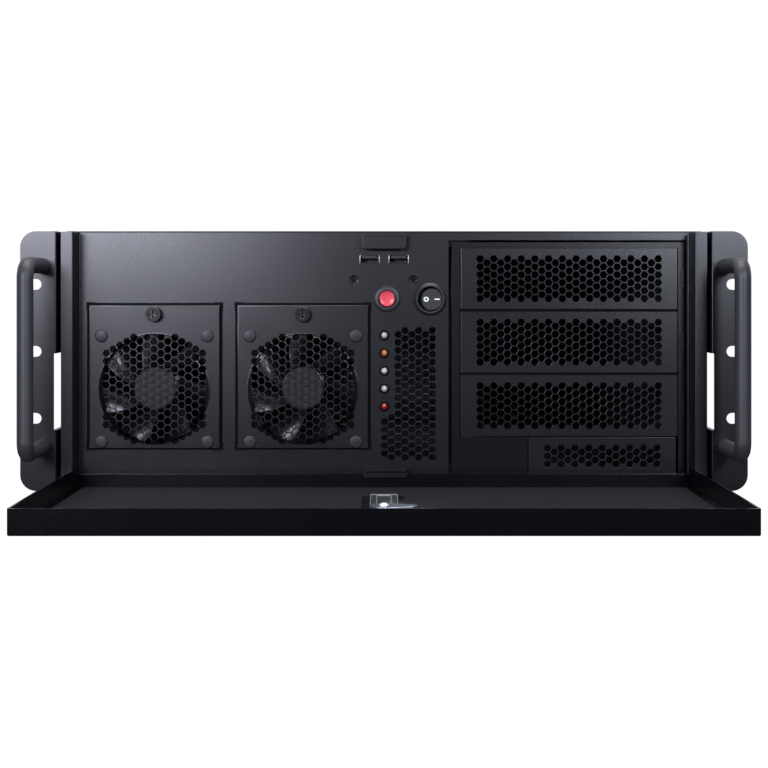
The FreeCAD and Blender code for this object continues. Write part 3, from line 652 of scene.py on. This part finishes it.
# Front ports. Two USB shells of bright plated steel with black inserts, on a small green board,
# and two countersunk screws that hold their bracket behind the panel.
plated = speckled(
    "bright_plate", 400, (0.22, 0.22, 0.225), (0.36, 0.36, 0.36), 0.26, 0.15, Metallic=1.0
)
insert_plastic = speckled(
    "insert_plastic", 600, (0.003, 0.003, 0.003), (0.008, 0.0075, 0.007), 0.35, 0.1, lumps=even
)
coated(insert_plastic, "usb_inserts")
side_wall, flat_wall, mouth_front = 0.55, 0.3, 0.4
shells = bmesh.new()
mouths = bmesh.new()
for low_x in (usb_low.x, usb_high.x - usb_width):
    block(shells, (low_x, usb_low.y, usb_low.z), (low_x + usb_width, usb_high.y, usb_high.z), 0.35)
    block(
        mouths,
        (low_x + side_wall, usb_low.y - 2, usb_low.z + flat_wall),
        (low_x + usb_width - side_wall, usb_high.y - 2, usb_high.z - flat_wall),
    )
port_shells = made("port_shells", shells, [plated, insert_plastic], mouths)
# Only the shells' fronts are plated; every face deeper than the mouth's edge takes the black insert plastic:
# painted shade inside the mouths.
for face in port_shells.data.polygons:
    face.material_index = int(face.center.y / mm > usb_low.y + mouth_front)
fitted(port_shells, "case", "bare_steel", "usb_shells")

heads = []
recess = bmesh.new()
sunk_profile = [
    (0, -0.55), (2.3, -0.6), (2.55, -0.5), (3.1, 0.1), (screw_radius, 0.12), (screw_radius, -1.5), (0, -1.5)
]
for x in screws_x:
    heads.append(closed_turned(sunk_profile, (x, panel_y, screw_z), 32))
    cross_recess(recess, x, screw_z, 1.6, 0.7, panel_y - 2, panel_y + 1.2)
screws = made("bracket_screws", joined(*heads), [gloss_black], recess, crossing=True)
fitted(screws, "case", "gloss_black", "port_screws")

# Reset button. A black moulded bezel with a bore, and a glossy red cap with a dished face that
# slides in it against a spring.
bezel_plastic = speckled(
    "bezel_plastic", 900, (0.006, 0.0062, 0.0072), (0.013, 0.0133, 0.0150), 0.38, 0.14, 0.00002,
    Specular_IOR_Level=0.55,
)
cap_low, cap_high = span("reset_button")
reset_low, reset_high = span("reset_bezel")
rise = panel_y - reset_low.y
radius = (reset_high.x - reset_low.x) / 2
press_room, end_wall = 3.0, 1.2
back = panel_y - cap_high.y - press_room
body, bore = reset_bore - 0.1, 5.95
profile = [
    (0, back), (bore, back), (bore, rise - 0.1), (6.3, rise), (7.4, rise - 0.1), (radius - 0.8, rise - 0.35),
    (radius - 0.2, rise - 0.8), (radius, 0.05), (body, 0.0), (body, back - end_wall), (0, back - end_wall),
]
bezel = made("reset_surround", closed_turned(profile, (reset.x, panel_y, reset.z), 56), [bezel_plastic])
fitted(bezel, "case", "black_plastic", "reset_bezel")

red_gloss = Finish("red_gloss", Specular_IOR_Level=0.5, Coat_Roughness=0.12)
speck = red_gloss.noise(120, 2, 0.5)
across = red_gloss.along(0) - reset.x * mm
up = red_gloss.along(2) - reset.z * mm
face_radius = 4.7
# Outside the dished face the cap is painted dark red, with no clear coat and rougher: painted shade where its
# side sits in the bore.
painted_shade_skirt = (((across * across + up * up).worked("POWER", 0.5) / mm - face_radius) * 2.5).within(0.0, 1.0)
face_red = red_gloss.mix(speck, (0.62, 0.032, 0.055), (0.78, 0.060, 0.085))
red_gloss.set(
    Base_Color=red_gloss.mix(painted_shade_skirt, face_red, (0.10, 0.004, 0.008)),
    Roughness=speck * 0.1 + painted_shade_skirt * 0.4 + 0.36,
    Coat_Weight=(1 - painted_shade_skirt) * 0.3,
)
tall = cap_high.y - cap_low.y
profile = [
    (0, tall - 0.55), (2.6, tall - 0.5), (4.2, tall - 0.25), (face_radius, tall - 0.02), (5.05, tall - 0.12),
    (5.25, tall - 0.6), (5.7, tall - 0.9), (5.8, tall - 1.6), (5.8, 0), (0, 0),
]
cap = made("reset_cap_dished", closed_turned(profile, (reset.x, cap_high.y, reset.z), 56), [red_gloss.material])
fitted(cap, "reset_cap", "red_plastic", "reset_button")

# Power switch. A round rocker in a black bezel: its face is two shallow planes with a moulded
# circle and bar, and the left half is pressed in at rest.
power_low, power_high = span("power_bezel")
rise = panel_y - power_low.y
radius = (power_high.x - power_low.x) / 2
cup, body, floor_back, body_back = 8.5, power_bore - 0.15, -12.5, -14
profile = [
    (0, floor_back), (cup, floor_back), (cup, rise - 0.35), (8.7, rise - 0.05), (9.2, rise),
    (radius - 1.6, rise - 0.25), (radius - 0.3, rise - 1.2), (radius, rise - 1.7), (radius, 0.05),
    (body, 0), (body, body_back), (0, body_back),
]
bezel = made("power_surround", closed_turned(profile, (power.x, panel_y, power.z), 64), [bezel_plastic])
fitted(bezel, "case", "black_plastic", "power_bezel")

rocker_black = powder_coat(
    "rocker_black", (0.018, 0.0182, 0.0200), (0.034, 0.0344, 0.0370), 0.55, 1100, 0.00003, 0.3
)
mark_white = speckled("mark_white", 500, (0.80, 0.80, 0.79), (0.92, 0.92, 0.91), 0.4, 0.1, lumps=even)
rock = next(joint for joint in frame["joints"] if joint["name"] == "power_rock")
pivot = Vector(rock["pos_m"])
half = 7.15
offset = 1.25
rest_angle = math.radians(10)
slope = math.tan(rest_angle)
dip = 1.2
rocker = bmesh.new()
line = [
    rocker.verts.new((x, -dip + abs(x) * slope, -half - 1))
    for x in (offset - half - 1, -0.5, 0.5, offset + half + 1)
]
ridge = [rocker.edges.new(pair) for pair in zip(line, line[1:])]
moved(rocker, bmesh.ops.extrude_edge_only(rocker, edges=ridge), (0, 0, 2 * half + 2))
facing(rocker, (0, -1, 0))
bmesh.ops.solidify(rocker, geom=rocker.faces[:], thickness=4.0)
# What lies outside the rocker's round is cut away, by a plate with a round hole.
outside = bmesh.new()
front, back, wide = -6, 6, 14
place = Matrix.Translation((offset, front, 0)) @ Matrix.Rotation(math.pi / 2, 4, "X")
bmesh.ops.create_circle(outside, cap_ends=False, radius=half, segments=64, matrix=place)
square = ((-wide, -wide), (wide, -wide), (wide, wide), (-wide, wide))
corners = [outside.verts.new((x, front, z)) for x, z in square]
for i in range(4):
    outside.edges.new((corners[i - 1], corners[i]))
bmesh.ops.triangle_fill(outside, use_beauty=True, edges=outside.edges[:], normal=(0, -1, 0))
moved(outside, bmesh.ops.extrude_face_region(outside, geom=outside.faces[:]), (0, back - front, 0))
bmesh.ops.recalc_face_normals(outside, faces=outside.faces)
rocker_piece = made("rocker_cap", rocker, [rocker_black], outside, edge=0.35)
marks = bmesh.new()
ring_x, ring_outer, ring_inner, ring_tall = -2.5, 1.75, 0.8, 0.25
ring_profile = [
    (ring_outer, -0.3), (ring_outer, ring_tall), (ring_inner, ring_tall), (ring_inner, -0.3), (ring_outer, -0.3)
]
turned(marks, ring_profile, (ring_x, -dip - ring_x * slope - 0.18, 0), 36)
bar_low_x, bar_high_x, bar_half = 3.2, 6.6, 0.42
block(marks, (bar_low_x, -dip + 0.3, -bar_half), (bar_high_x, -dip + 0.9, bar_half))
bmesh.ops.recalc_face_normals(marks, faces=marks.faces)
marks_piece = made("rocker_marks", marks, [mark_white])
turn = Matrix.Translation(pivot) @ Matrix.Rotation(-rest_angle, 4, "Z")
for piece in (rocker_piece, marks_piece):
    piece.data.transform(turn)
fitted(rocker_piece, "power_cap", "gloss_black", "power_rocker")
fitted(marks_piece, "power_cap", "gloss_black")

# Lamps. Five 5 mm lamps in a column, each a domed lens pushed through a black collar: one amber,
# one red and three water-clear, each painted paler at the tip of its dome and darker towards its
# foot: painted light and shade.
dome = 2.9
lens_profile = [
    (0, dome), (0.8, 2.8), (1.55, 2.35), (2.05, 1.75), (2.35, 1.1),
    (lamp_radius, 0.2), (lamp_radius, -1.0), (0, -1.0),
]
places = [lamp_top - i * lamp_pitch for i in range(5)]
lamp_looks = {
    "clear_lamps": ((0, 2, 3), "lamp_clear", (0.30, 0.30, 0.295), (0.52, 0.52, 0.51)),
    "amber_lamp": ((1,), "lamp_amber", (0.34, 0.085, 0.015), (0.52, 0.15, 0.035)),
    "red_lamp": ((4,), "lamp_red", (0.22, 0.008, 0.012), (0.36, 0.02, 0.025)),
}
for node, (order, slot, dark, light) in lamp_looks.items():
    look = Finish(node + "_glass", Specular_IOR_Level=0.7, Coat_Weight=0.6, Coat_Roughness=0.05)
    speck = look.noise(420, 2, 0.5)
    # Painted light and shade: each lens is paler at the tip of its dome and darker towards its foot.
    depth = ((look.along(1) / mm - panel_y + dome) / 1.9).within(0.0, 1.0)
    look.set(
        Base_Color=look.mix(depth, look.mix(speck, dark, light), tuple(part * 0.12 for part in dark)),
        Roughness=speck * 0.12 + 0.12,
    )
    lenses = [closed_turned(lens_profile, (lamp_x, panel_y - 0.1, places[i]), 28) for i in order]
    fitted(made(node + "_domed", joined(*lenses), [look.material]), "case", slot, node)
collar_profile = [(2.55, -1), (2.55, 0.85), (2.8, 1.0), (3.2, 0.85), (3.5, 0.3), (3.5, -0.2), (2.55, -1)]
collars = [closed_turned(collar_profile, (lamp_x, panel_y, z), 32) for z in places]
collar_black = speckled(
    "collar_black", 700, (0.001, 0.001, 0.001), (0.003, 0.003, 0.003), 0.5, 0.2, lumps=even,
    Specular_IOR_Level=0.12,
)
fitted(made("lamp_collars", joined(*collars), [collar_black]), "case", "black_plastic", "lamp_holders")

# Drive bays. Three perforated 5.25 inch blanks and a 3.5 inch one, each with folded sides that
# clip into the cage. A tab behind the upper edge of the lower two locates the blank above it.
bay_coat = powder_coat("bay_coat", (0.0016, 0.0017, 0.0026), (0.0042, 0.0045, 0.0062), 0.29)
bay_combs = {
    "bay_cover_top": (27, 6),
    "bay_cover_middle": (27, 6),
    "bay_cover_bottom": (27, 6),
    "small_bay_cover": (17, 3),
}
for node, (columns, rows) in bay_combs.items():
    low, high = span(node)
    corners = (low.x, high.y), (low.x, low.y), (high.x, low.y), (high.x, high.y)
    outer_face = [(x, y, low.z) for x, y in corners]
    blank = folded(outer_face, (0, 0, high.z - low.z), skin, 0.9, (0, -1, 0))
    if node in ("bay_cover_middle", "bay_cover_bottom"):
        tab = bmesh.new()
        tab_foot, tab_front, tab_back = high.z - 2.5, low.y + 3.0, low.y + 3.8
        block(tab, (low.x - 0.4, tab_front, tab_foot), (high.x - 0.1, tab_back, high.z + 2.4))
        block(tab, (low.x + 1.3, low.y + 0.3, tab_foot), (high.x - 1.3, tab_back, tab_foot + 1.0))
        blank = joined(blank, tab)
    cuts = bmesh.new()
    for x in (low.x, high.x):
        block(cuts, (x - 2, low.y + 2.6, low.z - 1), (x + 2, low.y + 4.2, low.z + 2.6))
    middle = (low + high) / 2
    for column in range(columns):
        count = rows - column % 2
        comb(cuts, middle.x + (column - (columns - 1) / 2) * comb_step, middle.z, count, low.y - 2, low.y + 3)
    piece = made(node + "_sheet", blank, [bay_coat, inside_coat], cuts, edge=0.2, crossing=True)
    # Behind their fronts the blanks' folded sides and tabs take the dull inside coat: painted shade in the gaps
    # between them.
    for face in piece.data.polygons:
        face.material_index = int(face.center.y / mm > low.y + 1.4)
    fitted(piece, "case", "powder_coat", node)

# Rack ears. Laser-cut 2 mm steel, folded at a right angle with a window cut out of the fold, and
# joggled inwards to lie on the side wall, where three screws hold each.
ear_low, ear_high = span("ear_right")
ear_sheet = 2.0
groove = 2.9
wall_x = ear_low.x
flange_x = wall_x + groove
joggle_front, joggle_back = -216.0, -212.0
window_low, window_high, window_back = 40.4, 91.3, -218.0
slot_length, slot_width, slot_pitch = 10.8, 7.2, 44.45
slot_x = ear_high.x - 8.75
slot_middle = ear_high.z - 79.7
ear_corner = 10.6
cut_front, cut_back = ear_low.y - 3, ear_low.y + 5


def obround(bm, x, z, length, width, front, back):
    run = (length - width) / 2
    for side in (-1, 1):
        rod(bm, x + side * run, z, width / 2, 32, front, back)
    block(bm, (x - run, front, z - width / 2), (x + run, back, z + width / 2))


def corner_waste(side, edge_z, turn):
    """What is cut off an ear's outer corner to leave it round."""
    waste = bmesh.new()
    beyond = 5
    x, z = ear_high.x - ear_corner, edge_z - turn * ear_corner
    angles = [math.pi / 2 * i / 12 for i in range(13)]
    outline = [(x + ear_corner * math.cos(a), z + turn * ear_corner * math.sin(a)) for a in angles]
    far_x, far_z = ear_high.x + beyond, edge_z + turn * beyond
    outline += [(x, far_z), (far_x, far_z), (far_x, z)]
    waste.faces.new([waste.verts.new((side * x, cut_front, z)) for x, z in outline])
    grown = bmesh.ops.extrude_face_region(waste, geom=waste.faces[:])
    moved(waste, grown, (0, cut_back - cut_front, 0))
    bmesh.ops.recalc_face_normals(waste, faces=waste.faces)
    return waste


for name, side in (("right", 1), ("left", -1)):
    outer_face = [
        (side * x, y, 0) for x, y in (
            (ear_high.x, ear_low.y), (flange_x, ear_low.y), (flange_x, joggle_front),
            (wall_x, joggle_back), (wall_x, ear_high.y),
        )
    ]
    ear = folded(outer_face, (0, 0, ear_high.z), ear_sheet, 1.2, (0, -1, 0))
    cuts = bmesh.new()
    for k in (-1, 0, 1):
        z = slot_middle + slot_pitch * k
        obround(cuts, side * slot_x, z, slot_length, slot_width, cut_front, cut_back)
    inner, outer = sorted((side * (wall_x - 1), side * (flange_x + ear_sheet + 0.1)))
    block(cuts, (inner, cut_front, window_low), (outer, window_back, window_high), 0.5)
    cuts = joined(cuts, corner_waste(side, 0, -1), corner_waste(side, ear_high.z, 1))
    piece = made("rack_ear_" + name, ear, [case_coat], cuts, edge=0.25, crossing=True)
    fitted(piece, "case", "powder_coat", "ear_" + name)

# Handles. A 10.4 mm round bar bent twice, powder coated smoother than the case and screwed from
# behind the ear.
handle_coat = powder_coat("handle_coat", (0.022, 0.0224, 0.0250), (0.034, 0.0345, 0.0380), 0.47, 900, 0.00001)
bend = 8.5


def run_on(bm, line, vec):
    """Carries an open tube's end straight on, and returns the new end."""
    grown = bmesh.ops.extrude_edge_only(bm, edges=line)
    verts = set(moved(bm, grown, vec))
    return [part for part in grown["geom"] if isinstance(part, bmesh.types.BMEdge) and set(part.verts) <= verts]


def bend_on(bm, line, cent):
    """Carries an open tube's end round a right angle, and returns the new end."""
    spun = bmesh.ops.spin(
        bm, geom=line, cent=cent, axis=(-1, 0, 0), dvec=(0, 0, 0), angle=math.pi / 2, steps=12
    )
    return [part for part in spun["geom_last"] if isinstance(part, bmesh.types.BMEdge)]


for name in ("right", "left"):
    low, high = span("handle_" + name)
    bar = (high.x - low.x) / 2
    x = (low.x + high.x) / 2
    foot, head = low.z + bar, high.z - bar
    front = low.y + bar
    handle = bmesh.new()
    place = Matrix.Translation((x, high.y, foot)) @ Matrix.Rotation(math.pi / 2, 4, "X")
    ring = bmesh.ops.create_circle(handle, cap_ends=False, radius=bar, segments=32, matrix=place)["verts"]
    line = list({edge for vert in ring for edge in vert.link_edges})
    line = run_on(handle, line, (0, front + bend - high.y, 0))
    line = bend_on(handle, line, (x, front + bend, foot + bend))
    line = run_on(handle, line, (0, 0, head - foot - 2 * bend))
    line = bend_on(handle, line, (x, front + bend, head - bend))
    run_on(handle, line, (0, high.y - front - bend, 0))
    bmesh.ops.remove_doubles(handle, verts=handle.verts, dist=0.001)
    bmesh.ops.holes_fill(handle, edges=[edge for edge in handle.edges if edge.is_boundary], sides=0)
    bmesh.ops.recalc_face_normals(handle, faces=handle.faces)
    fitted(made("handle_bar_" + name, handle, [handle_coat]), "case", "powder_coat", "handle_" + name)

# Door. A shallow tray folded from one sheet, hinged at the foot of the recess and lying open,
# with a filter screen over its vents, a lens over its lamp window and a stop that holds it level.
door_low, door_high = span("door_tray")
door_coat = powder_coat(
    "door_coat", (0.0003, 0.0004, 0.0010), (0.0016, 0.0018, 0.0030), 0.25, 900, 0.000025, 0.24
)
door = bmesh.new()
block(door, door_low, door_high)
open_sides = [face for face in door.faces if face.normal.z > 0.9 or face.normal.y > 0.9]
bmesh.ops.delete(door, geom=open_sides, context="FACES_ONLY")
eased(door, [edge for edge in door.edges if len(edge.link_faces) == 2], 1.1, 4)
facing(door, (0, 0, -1))
bmesh.ops.solidify(door, geom=door.faces[:], thickness=skin)
hem = bmesh.new()
hem_height, hem_inset = 10.4, 1.4
block(
    hem,
    (door_low.x + hem_inset, door_high.y - skin, door_low.z),
    (door_high.x - hem_inset, door_high.y, door_low.z + hem_height),
    0.3,
)
lens_low, lens_high = span("lamp_window_lens")
lock_at = centre("lock_plug")
vent_inner, vent_outer, vent_height = 22, 198, 8
cuts = bmesh.new()
for side in (-1, 1):
    inner, outer = sorted((side * vent_inner, side * vent_outer))
    for y in (-285, -315, -345):
        block(cuts, (inner, y - vent_height, door_low.z - 2), (outer, y, door_low.z + 3))
place = Matrix.Translation((lock_at.x, lock_at.y, 0))
bmesh.ops.create_cone(cuts, cap_ends=True, segments=48, radius1=8, radius2=8, depth=8, matrix=place)
window_half, window_margin = 4.5, 4.2
block(cuts, (-window_half, lens_low.y + window_margin, -2), (window_half, lens_high.y - window_margin, 3))
door_piece = made("door_shell", joined(door, hem), [door_coat], cuts, edge=0.25, crossing=True)
fitted(door_piece, "door", "powder_coat", "door_tray")

weave = Finish("filter_weave", Specular_IOR_Level=0.15)
threads = 1 / 0.0009
warp = abs(((weave.along(0) + weave.along(1)) * threads).worked("FRACT") - 0.5) * 2
weft = abs(((weave.along(0) - weave.along(1)) * threads).worked("FRACT") - 0.5) * 2
cloth = warp.worked("MAXIMUM", weft)
lint = weave.noise(400, *even)
weave.set(
    Base_Color=weave.mix(cloth * 0.8 + lint * 0.2, (0.001, 0.001, 0.0015), (0.020, 0.0204, 0.0225)),
    Roughness=cloth * 0.2 + 0.45,
)
weave.bump(cloth, 0.00012)
coated(weave.material, "door_screen")

# The lens is a clear plate with a ridge round its rim and another round its window, both painted pale grey
# as a painted highlight on their edges.
lens_clear = speckled(
    "window_lens", 200, (0.03, 0.032, 0.034), (0.06, 0.062, 0.066), 0.1, 0.1, lumps=even,
    Specular_IOR_Level=0.7, Coat_Weight=0.5, Coat_Roughness=0.06,
)
# Pale grey all over: a painted highlight along the lens's ridges.
painted_ridge_highlight = speckled(
    "painted_ridge_highlight", 300, (0.16, 0.17, 0.18), (0.30, 0.31, 0.33), 0.3, 0.1, lumps=even, Specular_IOR_Level=0.7
)
lens = bmesh.new()
block(lens, (lens_low.x, lens_low.y, lens_high.z - 1.5), (lens_high.x, lens_high.y, lens_high.z - 0.3), 0.3)
ridge_side, ridge_end, ridge_tall = 0.5, 0.7, 0.6
ridge = bmesh.new()
for inset in (0.0, 3.9):
    low_x, high_x = lens_low.x + inset, lens_high.x - inset
    low_y, high_y = lens_low.y + inset, lens_high.y - inset
    foot = lens_high.z - ridge_tall
    for x in (low_x, high_x - ridge_side):
        block(ridge, (x, low_y, foot), (x + ridge_side, high_y, lens_high.z), 0.15)
    for y in (low_y, high_y - ridge_end):
        block(ridge, (low_x, y, foot), (high_x, y + ridge_end, lens_high.z), 0.15)
fitted(made("lens_plate", lens, [lens_clear]), "door", "clear_plastic", "lamp_window_lens")
fitted(made("lens_ridges", ridge, [painted_ridge_highlight]), "door", "clear_plastic", "lamp_window_lens")

# Hooks. Folded from the panel's own sheet: the wide one at the top is the keeper that the lock's
# cam turns behind, and the narrow one at the foot stops the door level.
hook_low, hook_high = span("keeper_hook")
hook = bmesh.new()
block(hook, (hook_low.x, hook_low.y, hook_high.z - skin), hook_high, 0.3)
lip = bmesh.new()
block(lip, hook_low, (hook_high.x, hook_low.y + skin, hook_high.z))
foot_corners = [
    edge for edge in lip.edges
    if abs(edge.verts[0].co.y - edge.verts[1].co.y) > 1
    and max(vert.co.z for vert in edge.verts) < hook_low.z + 0.1
]
eased(lip, foot_corners, 1.6, 1)
eased(lip, lip.edges, 0.55, 3)
fitted(made("keeper_lip", joined(hook, lip), [case_coat]), "case", "powder_coat", "keeper_hook")

stop_low, stop_high = span("door_stop_hook")
stop = bmesh.new()
block(stop, (stop_low.x, stop_low.y, stop_high.z - skin), stop_high, 0.3)
block(stop, stop_low, (stop_high.x, stop_low.y + skin, stop_high.z), 0.3)
fitted(made("stop_lip", stop, [case_coat]), "case", "powder_coat", "door_stop_hook")

# Lock. A chromed cam lock through the door: barrel and nut fixed in it, and the plug, the steel
# cam and the domed nut that clamps it turning together.
chrome = speckled(
    "chrome", 300, (0.70, 0.71, 0.72), (0.84, 0.85, 0.86), 0.10, 0.12, lumps=even, Metallic=1.0
)
cam_steel = speckled("cam_steel", 500, (0.22, 0.25, 0.29), (0.38, 0.41, 0.45), 0.25, 0.2, Metallic=1.0)
coated(chrome, "lock_barrel", "lock_plug")
coated(plated, "hinge_pins", "lock_ring_nut")
cam_low, cam_high = span("lock_cam")
boss_radius, end_radius = 8.4, 4.5
cam = bmesh.new()
outline = []
for centre_x, radius, start in ((cam_high.x - end_radius, end_radius, -90), (0, boss_radius, 90)):
    for step in range(17):
        turn = math.radians(start + 180 * step / 16)
        x, y = lock_at.x + centre_x + radius * math.cos(turn), lock_at.y + radius * math.sin(turn)
        outline.append(cam.verts.new((x, y, cam_low.z)))
cam.faces.new(outline)
moved(cam, bmesh.ops.extrude_face_region(cam, geom=cam.faces[:]), (0, 0, cam_high.z - cam_low.z))
bmesh.ops.recalc_face_normals(cam, faces=cam.faces)
fitted(made("cam_arm", cam, [cam_steel], edge=0.2), "lock", "bare_steel", "lock_cam")
nut_profile = [(0, 2.0), (1.2, 1.9), (2.4, 1.5), (3.2, 0.9), (3.75, 0.5), (3.75, 0.0), (0, 0)]
nut = closed_turned(nut_profile, (lock_at.x, lock_at.y, span("lock_nut")[0].z), 32, (0, 0, 1))
fitted(made("cam_nut", nut, [chrome]), "lock", "chrome", "lock_nut")

# Small fixings and boards. Zinc-plated and blacked screws, brass posts for the board that goes in,
# blacked spring clips beside the bays, the rear connector shield and the little port board.
zinc = speckled("zinc_plate", 350, (0.42, 0.43, 0.44), (0.62, 0.62, 0.62), 0.3, 0.2, Metallic=1.0)
brass = speckled(
    "brass_posts", 300, (0.55, 0.38, 0.14), (0.70, 0.50, 0.22), 0.25, 0.15, lumps=even, Metallic=1.0
)
# The rear connector shield is painted dark grey: painted shade, for it stands unlit deep inside the case.
shield = speckled("painted_shade_steel", 250, (0.05, 0.05, 0.052), (0.09, 0.09, 0.093), 0.45, 0.2, Metallic=1.0)
board = speckled("board_green", 250, (0.010, 0.06, 0.025), (0.02, 0.10, 0.045), 0.35, 0.1, lumps=(3, 0.5))
coated(zinc, "handle_screws", "slot_screws")
coated(gloss_black, "bay_clips", "lid_screws", "ear_screws")
coated(brass, "board_posts")
coated(shield, "io_shield")
coated(board, "front_port_board")

# Studio. A pale seamless floor and backdrop with the room dark behind the camera, one large soft
# light in front to the left, a smaller one to the right and one overhead, and a level camera.
floor_mesh = bmesh.new()
bmesh.ops.create_grid(floor_mesh, x_segments=1, y_segments=1, size=6000)
floor_look = Finish("floor_white", Base_Color=(0.06, 0.06, 0.06), Roughness=0.9, Specular_IOR_Level=0.0)
rays = floor_look.tree.nodes.new("ShaderNodeLightPath")
mirrors = Wire(rays.outputs["Is Glossy Ray"]) + Wire(rays.outputs["Is Transmission Ray"])
floor_look.set(Emission_Color=(1, 1, 1), Emission_Strength=Wire(rays.outputs["Is Camera Ray"]) + mirrors * 0.03)
floor = made("floor", floor_mesh, [floor_look.material])

# The backdrop is white to the camera. Mirrors and glass see it too, bright behind the object and dark
# behind the camera, and it lights the object only faintly.
world = bpy.data.worlds.new("studio")
bpy.context.scene.world = world
world.use_nodes = True
sky = world.node_tree
rays = sky.nodes.new("ShaderNodeLightPath")
seen = Wire(rays.outputs["Is Camera Ray"])
mirrored = (Wire(rays.outputs["Is Glossy Ray"]) + Wire(rays.outputs["Is Transmission Ray"])).within(0.0, 1.0)
parts = sky.nodes.new("ShaderNodeSeparateXYZ")
sky.links.new(sky.nodes.new("ShaderNodeTexCoord").outputs["Generated"], parts.inputs[0])
behind = (Wire(parts.outputs["Y"]) * 1.6 + 0.5).within(0.015, 1.0)
ambient = 0.006
strength = (1 - seen) * ((1 - mirrored) * ambient + mirrored * behind) + seen
cool_white = (0.84, 0.87, 1.0)
tint = sky.nodes.new("ShaderNodeMix")
tint.data_type = "RGBA"
for entry, value in ((0, seen), (6, cool_white), (7, (1, 1, 1))):
    join(tint.inputs[entry], value)
sky.links.new(tint.outputs[2], sky.nodes["Background"].inputs["Color"])
join(sky.nodes["Background"].inputs["Strength"], strength)


def soft_light(name, place, target, width, height, watts, colour=(1, 1, 1)):
    lamp = bpy.data.lights.new(name, "AREA")
    lamp.shape = "RECTANGLE"
    lamp.size = width
    lamp.size_y = height
    lamp.energy = watts
    lamp.color = colour
    light = bpy.data.objects.new(name, lamp)
    light.location = place
    light.rotation_euler = (Vector(target) - Vector(place)).to_track_quat("-Z", "Y").to_euler()
    bpy.context.scene.collection.objects.link(light)


soft_light("key", (-0.45, -1.14, 0.3026), (0.0, -0.2, 0.12), 0.51, 0.20, 8.7, (0.845, 0.860, 1.0))
soft_light("right", (0.442, -1.14, 0.412), (0.0, -0.2, 0.12), 0.133, 0.334, 6.3, (0.820, 0.860, 1.0))
soft_light("overhead", (0.0, -0.35, 1.0), (0.0, -0.35, 0.1), 1.0, 0.6, 10.5)

view = bpy.data.cameras.new("camera")
view.lens = 63.9
view.sensor_width = 36.0
view.shift_y = -0.131
view.clip_start = 0.01
camera = bpy.data.objects.new("camera", view)
camera.location = (0.0, -1.144, 0.1377)
camera.rotation_euler = (math.pi / 2, 0, 0)
bpy.context.scene.collection.objects.link(camera)
bpy.context.scene.camera = camera
bpy.context.scene.view_settings.view_transform = "Standard"
